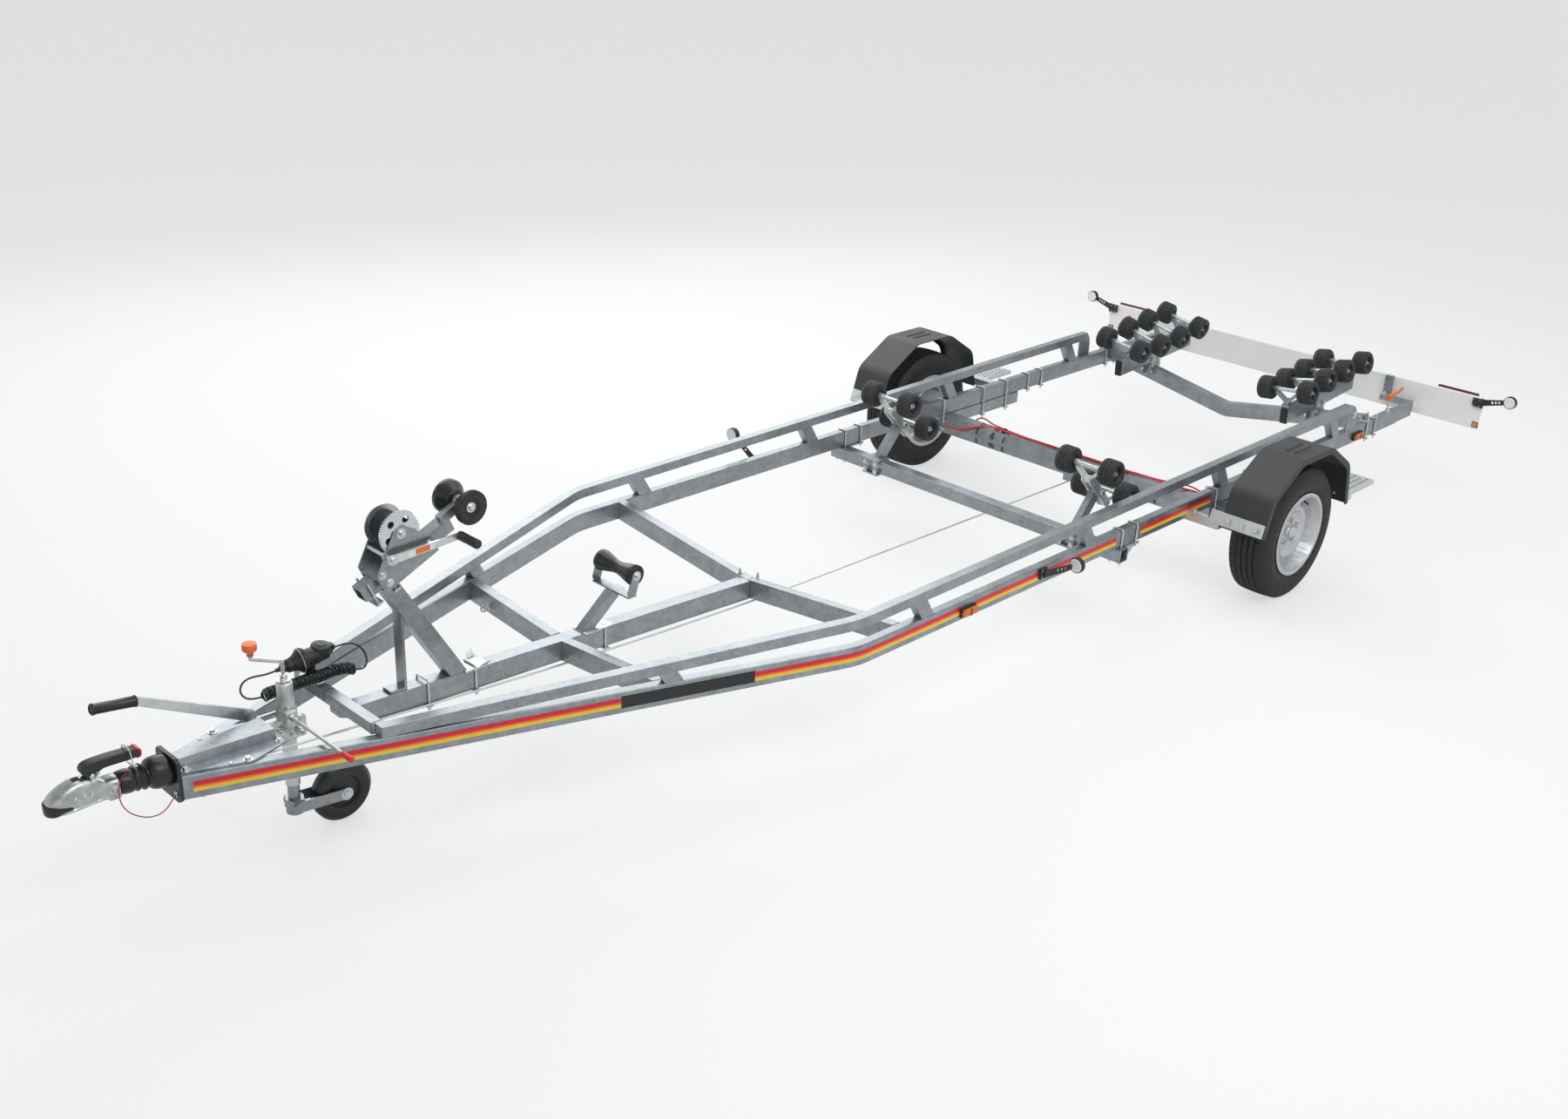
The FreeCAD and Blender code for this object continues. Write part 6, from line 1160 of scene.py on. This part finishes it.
crank_way = (grip - pinion).normalized()
crank_up = crank_way.cross(LEFT).normalized()
bm = bmesh.new()
for s0, s1, mat_index in ((0.06, 0.086, 0), (0.0865, 0.14, 1), (0.1405, 0.158, 0)):
    corners = ((s0, -LABEL_HALF), (s1, -LABEL_HALF), (s1, LABEL_HALF), (s0, LABEL_HALF))
    f = bm.faces.new([bm.verts.new(pinion + D(0, 88.3, 0) + crank_way * along + crank_up * up) for along,
                      up in corners])
    f.material_index = mat_index
finish_mesh("crank_label", bm, ["white_film", "orange"], "winch_handle", smooth=False)

# Roller end nuts
bow = on_arm(-455, 31)
bm = bmesh.new()
for s in (-1, 1):
    add_bolt(bm, bow + D(0, s * 65.2, 0), LEFT * s, 0.019, 0.009)
finish_mesh("bow_roller_nuts", bm, "zinc", "bow_stop")
bm = bmesh.new()
for s in (-1, 1):
    add_bolt(bm, P(440, s * 104.2, 618), LEFT * s, 0.019, 0.009, tail=0.005)
finish_mesh("keel_roller_nuts", bm, "zinc", "keel_support")

# Brake cables on the axle: the source's pair, and three more that lie beside them
CABLE = [P(-2470, 40, 386), P(-2474, 480, 386), P(-2562, 640, 390), P(-2604, 735, 302), P(-2628, 850, 280),
         P(-2646, 935, 316), P(-2648, 1009.6, 320)]
FAR_LOOP = [P(-2452, -430, 392), P(-2448, -500, 396), P(-2425, -580, 372), P(-2408, -660, 338),
            P(-2410, -745, 330), P(-2452, -840, 352), P(-2560, -930, 362), P(-2620, -1006, 345)]
NEAR_LOOP = [P(-2460, 300, 395), P(-2446, 400, 404), P(-2440, 500, 408), P(-2452, 590, 398),
             P(-2540, 680, 372), P(-2600, 760, 322), P(-2628, 860, 300), P(-2644, 950, 330),
             P(-2648, 1006, 338)]
CABLE_PAIR = [P(-2460, 300, 395), P(-2458, 60, 395.5), P(-2456, -150, 395.5), P(-2455, -330, 394),
              P(-2452, -430, 392)]
for side, sign in SIDES:
    route = [Vector((p.x, sign * p.y, p.z)) for p in CABLE]
    o = add_cable("brake_cable_" + side, route, 0.004, "red_cable")
    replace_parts(o, "brake_cables")
for name, route in (("far_loop", FAR_LOOP), ("near_loop", NEAR_LOOP), ("pair", CABLE_PAIR)):
    add_cable("brake_cable_" + name, route, 0.0042, "red_cable")

# Ties round the six-sided axle, given by their place along it and their slant
TIES = ((-560, 0), (-470, 4), (-455, -3), (-390, 3), (330, -3), (520, 4))
TIE_X, TIE_Z, TIE_RADIUS = -2470, 331.6, 59.2
bm = bmesh.new()
for y, slant in TIES:
    loop = []
    for i in range(6):
        ang = math.radians(60 * i + 30)
        loop.append(P(TIE_X + TIE_RADIUS * math.cos(ang), y + slant * math.sin(ang),
                      TIE_Z + TIE_RADIUS * math.sin(ang)))
    add_tube(bm, smooth_path(loop + [loop[0]], steps=3, radius=0.004), 0.003, 6)
finish_mesh("cable_ties", bm, "black_cord", "frame")
bm = bmesh.new()
add_box(bm, P(-2484, -432, 381.6), P(-2458, -412, 396), 0.003)
finish_mesh("cable_clip", bm, "webbing", "frame")

# Fender bolts, and the raised treads of the steps behind the wheels
STEP_X, STEP_END, STEP_Y, TREAD_PITCH, ROW_PITCH = -3022, -3276, 1032, 30, 31
bm = bmesh.new()
for sign in (-1, 1):
    for y in (1045, 1110, 1180):
        add_bolt(bm, P(-2168 + 5.6, sign * y, 436), Vector((1, 0, 0.31)), 0.012, 0.004)
    for y in (1060, 1150):
        add_bolt(bm, P(-2952, sign * y, 412), AHEAD, 0.013, 0.007, tail=0.006)
    for y in (870, 930):
        add_bolt(bm, P(-2188, sign * y, 424.4), UP, 0.015, 0.008)
finish_mesh("fender_bolts", bm, "zinc", "frame")
bm = bmesh.new()
for sign in (-1, 1):
    for i in range(9):
        for j in range(5):
            x = STEP_X - i * TREAD_PITCH - (TREAD_PITCH // 2 if j % 2 else 0)
            if x >= STEP_END:
                add_lathe(bm, P(x, sign * (STEP_Y + j * ROW_PITCH), 400.2), UP,
                          [(0.0085, 0), (0.0075, 0.0018), (0.0045, 0.0022), (0.004, 0.0002)], 14)
finish_mesh("step_treads", bm, "galvanised", "frame")

# Side lamps: amber reflector lamps and stalk lamps with a white and a red face
ARM_ROD, ARM_RUNGS, ARM_ROOT_HALF, ARM_TIP_HALF, ARM_PLATES = 4.6, 7, 13.0, 9.0, ((0.0, 0.44), (0.86, 1.0))
DISC_RADIUS, DISC_HALF = 33.0 * MM, 17.0 * MM
SCREW, SMALL_SCREW = [(0.0032, 0), (0.0028, 0.0016)], [(0.003, 0), (0.0026, 0.0016)]


def ladder_arm(bm, root, tip, wide):
    # Flat arm, solid near its root, with slots between webs further out.
    way = (tip - root).normalized()
    across = (wide - way * wide.dot(way)).normalized()
    deep = way.cross(across)

    def half_at(t):
        return (ARM_ROOT_HALF + (ARM_TIP_HALF - ARM_ROOT_HALF) * t) * MM

    for s in (-1, 1):
        add_tube(bm, [root + across * s * half_at(0), tip + across * s * half_at(1)], ARM_ROD * MM, 10)
    for k in range(ARM_RUNGS + 1):
        t = k / ARM_RUNGS
        p = root.lerp(tip, t)
        add_tube(bm, [p - across * half_at(t), p + across * half_at(t)], ARM_ROD * 1.05 * MM, 8)
    for near, far in ARM_PLATES:
        a, b = root.lerp(tip, near), root.lerp(tip, far)
        ha, hb = half_at(near), half_at(far)
        plate = [p - deep * (ARM_ROD * 0.9 * MM) for p in (a - across * ha, b - across * hb, b + across * hb,
                                                           a + across * ha)]
        add_prism(bm, plate, deep * (ARM_ROD * 1.8 * MM))


def disc_lamp(body, name, tip):
    # Round lamp that shows white ahead and red behind.
    r, d = DISC_RADIUS, DISC_HALF
    bm = bmesh.new()
    add_lathe(bm, tip - AHEAD * (d * 0.72), AHEAD, [(r * 0.86, 0), (r * 0.97, 0.001), (r, 0.003),
            (r, d * 1.44 - 0.003), (r * 0.97, d * 1.44 - 0.001), (r * 0.86, d * 1.44)], 36)
    finish_mesh(name + "_rim", bm, "moulded", body, angle=40)
    for s, color in ((1, "white"), (-1, "red")):
        bm = bmesh.new()
        add_lathe(bm, tip + AHEAD * (s * d * 0.7), AHEAD * s,
                  [(r * 0.88, 0), (r * 0.84, 0.0014), (r * 0.62, 0.0024), (r * 0.6, 0.002), (r * 0.3, 0.003),
                   (0.0001, 0.0032)], 36, caps=False)
        finish_mesh("%s_%s" % (name, color), bm, "clear_lens" if s > 0 else "red_lens", body, angle=60)


def lamp_on_arm(bm, root, tip, wide, body, name, foot, foot_radius, foot_share):
    # Disc lamp on a ladder arm, with a round foot where the arm starts.
    near = tip + (root - tip).normalized() * 0.03
    add_tube(bm, [foot, root.lerp(near, foot_share)], foot_radius, 14)
    ladder_arm(bm, root, near, wide)
    disc_lamp(body, name, tip)


black, amber, screws = (bmesh.new() for _ in range(3))
for side, sign in reversed(SIDES):
    out = LEFT * sign
    for x in (-618, -3791):
        side_box(black, sign, x - 47, x + 47, 828.2, 839, 397, 433, 0.0035)
        side_box(amber, sign, x - 41, x + 41, 839, 852.5, 400, 430, 0.0045)
        for k in range(7):
            side_box(amber, sign, x - 34 + k * 10.5, x - 30 + k * 10.5, 852.5, 853.7, 403, 427, 0.0004)
        side_box(black, sign, x - 4, x + 4, 852.5, 853.9, 399.5, 430.5, 0.0008)
        for s in (-1, 1):
            add_lathe(screws, P(x + s * 43.7, sign * 839, 415), out, SCREW, 12)
    side_box(black, sign, -1122, -1076, 828.2, 842, 409, 455, 0.004)
    for dx, dz in ((-16, -16), (16, 16), (-16, 16), (16, -16)):
        add_lathe(screws, P(-1099 + dx, sign * 842, 432 + dz), out, SMALL_SCREW, 12)
    root = P(-1099, sign * 844, 432)
    tip, wide = (P(-1246, 896, 446), UP) if sign > 0 else (P(-1013, -900, 560), Vector((1, 0, 0.4)))
    lamp_on_arm(black, root, tip, wide, "frame", "stalk_lamp_" + side, root - out * 0.006, 0.0105, 0.14)
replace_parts(finish_mesh("side_lamp_bodies", black, "moulded", "frame"), "side_lamps")
finish_mesh("side_lamp_lenses", amber, "amber", "frame")
finish_mesh("side_lamp_screws", screws, "zinc", "frame")

# Light board: lamp units behind it, markers at its ends, edge strips, reflectors and screws
BOARD_BACK, BOARD_FRONT, LENS_BACK, LENS_RIBS = -4478.2, -4474.2, -4521, 6
LENSES = ((804, 908, "red_lens", 408, 536), (910, 1014, "amber", 408, 536),
          (1016, 1126, "red_lens", 408, 470), (1016, 1126, "clear_lens", 472, 536))
black, screws = bmesh.new(), bmesh.new()
for side, sign in reversed(SIDES):
    side_box(black, sign, -4501, BOARD_BACK, 800, 1130, 404, 540, 0.005)
    for y0, y1, mat, z0, z1 in LENSES:
        bm = bmesh.new()
        side_box(bm, sign, LENS_BACK, -4500.5, y0, y1, z0, z1, 0.006)
        for k in range(LENS_RIBS):
            z = z0 + (z1 - z0) * (k + 0.5) / LENS_RIBS
            side_box(bm, sign, -4522.2, -4520.6, y0 + 6, y1 - 6, z - 1.2, z + 1.2, 0.0004)
        finish_mesh("rear_lens_%s_%d_%d" % (side, y0, z0), bm, mat, "light_bar")
    bm = bmesh.new()
    side_box(bm, sign, LENS_BACK, -4506, 905, 1127, 534, 566, 0.004)
    finish_mesh("rear_lens_top_" + side, bm, "deep_red", "light_bar")
    # Triangle reflector on its black back
    middle = sign * 740
    bm = bmesh.new()
    for mesh, half, low, high, deep in ((bm, 58, 440, 540, -7), (black, 66, 435, 549, -3)):
        add_prism(mesh, [P(BOARD_BACK, middle + y, z) for y, z in ((-half, low), (half, low), (0, high))],
                  D(deep, 0, 0))
    finish_mesh("reflector_" + side, bm, "red_lens", "light_bar")
    # Marker base and arm
    side_box(black, sign, BOARD_FRONT, -4459, 1118, 1169, 510, 556, 0.004)
    side_box(black, sign, -4476.5, -4459, 1160, 1174, 508, 558, 0.003)
    root = P(-4466, sign * 1160, 536)
    lamp_on_arm(black, root, P(-4476, sign * 1307, 572), UP, "light_bar", "marker_" + side, root, 0.01, 0.16)
    for y, z in ((1127, 518), (1127, 548), (1158, 518), (1158, 548)):
        add_lathe(screws, P(-4459, sign * y, z), AHEAD, SMALL_SCREW, 12)
    bm = bmesh.new()
    side_box(bm, sign, BOARD_FRONT, -4468, 1140, 1166, 399, 423, 0.002)
    finish_mesh("end_reflector_" + side, bm, "amber", "light_bar")
    side_box(black, sign, -4474.1, -4471, 1136, 1170, 396, 426, 0.001)
    for y in (700, 860, 1000, 1100):
        for z in (416, 532):
            add_lathe(screws, P(-4474.0, sign * y, z), AHEAD, [(0.0032, 0), (0.0026, 0.0018)], 12)
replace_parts(finish_mesh("board_lamp_bodies", black, "moulded", "light_bar"), "board_lamps")
finish_mesh("board_screws", screws, "zinc", "light_bar")

# Rear: caps of the beams and posts, lugs, clamp levers, end bolts and the pole's end caps
CAP_OUTLINE = ((-20, -38), (-16, -42.5), (16, -42.5), (20, -38), (20, 38), (16, 42.5), (-16, 42.5), (-20, 38))
PLUG_OUTLINE = ((-15, -37), (15, -37), (15, 37), (-15, 37))
LUG = ((-3656, 462), (-3656, 596), (-3694, 596), (-3728, 582), (-3750, 552), (-3758, 514), (-3758, 462))
LEVER_ARM = ((0, 0, 16), (-14, 15, 32), (-34, 36, 58), (-42, 45, 76))
black, zinc, orange, lugs, pale, mouths, insides, bar_bolts = (bmesh.new() for _ in range(8))
along_beam = on_beam(1, 0, 0, 1) - on_beam(0, 0, 0, 1)
for sign in (-1, 1):
    for s in (-1, 1):
        rib_outlines = [[(y, z + dz) for y, dz in ((-12, -3), (12, -3), (12, 3), (-12, 3))]
                        for z in (-22, 0, 22)]
        for outline, x, thickness in ([(CAP_OUTLINE, 345.2, 4.0), (PLUG_OUTLINE, 349.2, 1.6)]
                                      + [(rib, 350.6, 1.2) for rib in rib_outlines]):
            add_prism(black, [on_beam(s * x, y, z, sign) for y, z in outline], along_beam * (s * thickness))
    # Inset mouth of the board's post, and caps and bolts of the pole
    side_box(mouths, sign, -4471.5, -4450.5, 638, 672, 559.9, 560.3)
    side_box(insides, sign, -4469.5, -4452.5, 640.5, 669.5, 560.2, 560.6)
    side_box(pale, sign, -4451.5, -4418.5, 824.3, 829.5, 426.0, 459.0, 0.003)
    add_bolt(bar_bolts, P(-4434, sign * 655, 457.6), UP, 0.017, 0.01, tail=0.006)
    # Lug with a round bolt behind the upper rail, and U-bolts with studs round the rail
    add_prism(lugs, [P(x, sign * 820, z) for x, z in LUG], D(0, sign * 6, 0))
    add_lathe(zinc, P(-3724, sign * 826, 542), LEFT * sign,
              [(0.021, 0), (0.021, 0.003), (0.015, 0.004), (0.015, 0.009), (0.0125, 0.0105)], 28)
    for x in (-3888, -3978):
        ubolt(zinc, x, sign * RAIL_Y, RAIL_HALF, RAIL_TOP, 381)
        for s in (-1, 1):
            y = sign * RAIL_Y + s * 24
            add_rod(zinc, P(x, y, RAIL_TOP), P(x, y, 490), 0.004, 12, 0.0006)
            add_hex(zinc, P(x, y, 469), UP, 0.013, 0.008)
    # Clamp lever that holds the light board's pole in the rail
    stud = P(-4150, sign * RAIL_Y, RAIL_TOP)
    add_rod(zinc, stud, stud + D(0, 0, 66), 0.006, 16, 0.0008)
    add_lathe(zinc, stud, UP, [(0.015, 0), (0.015, 0.003), (0.0115, 0.0036), (0.0115, 0.012)], 24)
    hub = stud + D(0, 0, 62)
    add_lathe(orange, hub, UP, [(0.013, 0), (0.0142, 0.0015), (0.0142, 0.022), (0.012, 0.03), (0.006, 0.033),
                                (0.0001, 0.0335)], 28)
    line = smooth_path([hub + D(x, sign * y, z) for x, y, z in LEVER_ARM], radius=0.02, steps=5)
    add_tube(orange, line, 0.008, 14, radii=[0.0095 - 0.0035 * k / (len(line) - 1) for k in range(len(line))])
finish_mesh("rear_caps", black, "moulded", "frame")
finish_mesh("rail_lugs", lugs, "galvanised", "frame")
finish_mesh("rear_fittings", zinc, "zinc", "frame")
finish_mesh("post_insides", insides, "pale_zinc", "light_bar", smooth=False)
finish_mesh("post_mouths", mouths, "inside", "light_bar", smooth=False)
finish_mesh("bar_bolts", bar_bolts, "zinc", "light_bar")
finish_mesh("clamp_levers", orange, "orange", "frame", angle=45)
finish_mesh("pole_caps", pale, "white_film", "light_bar")
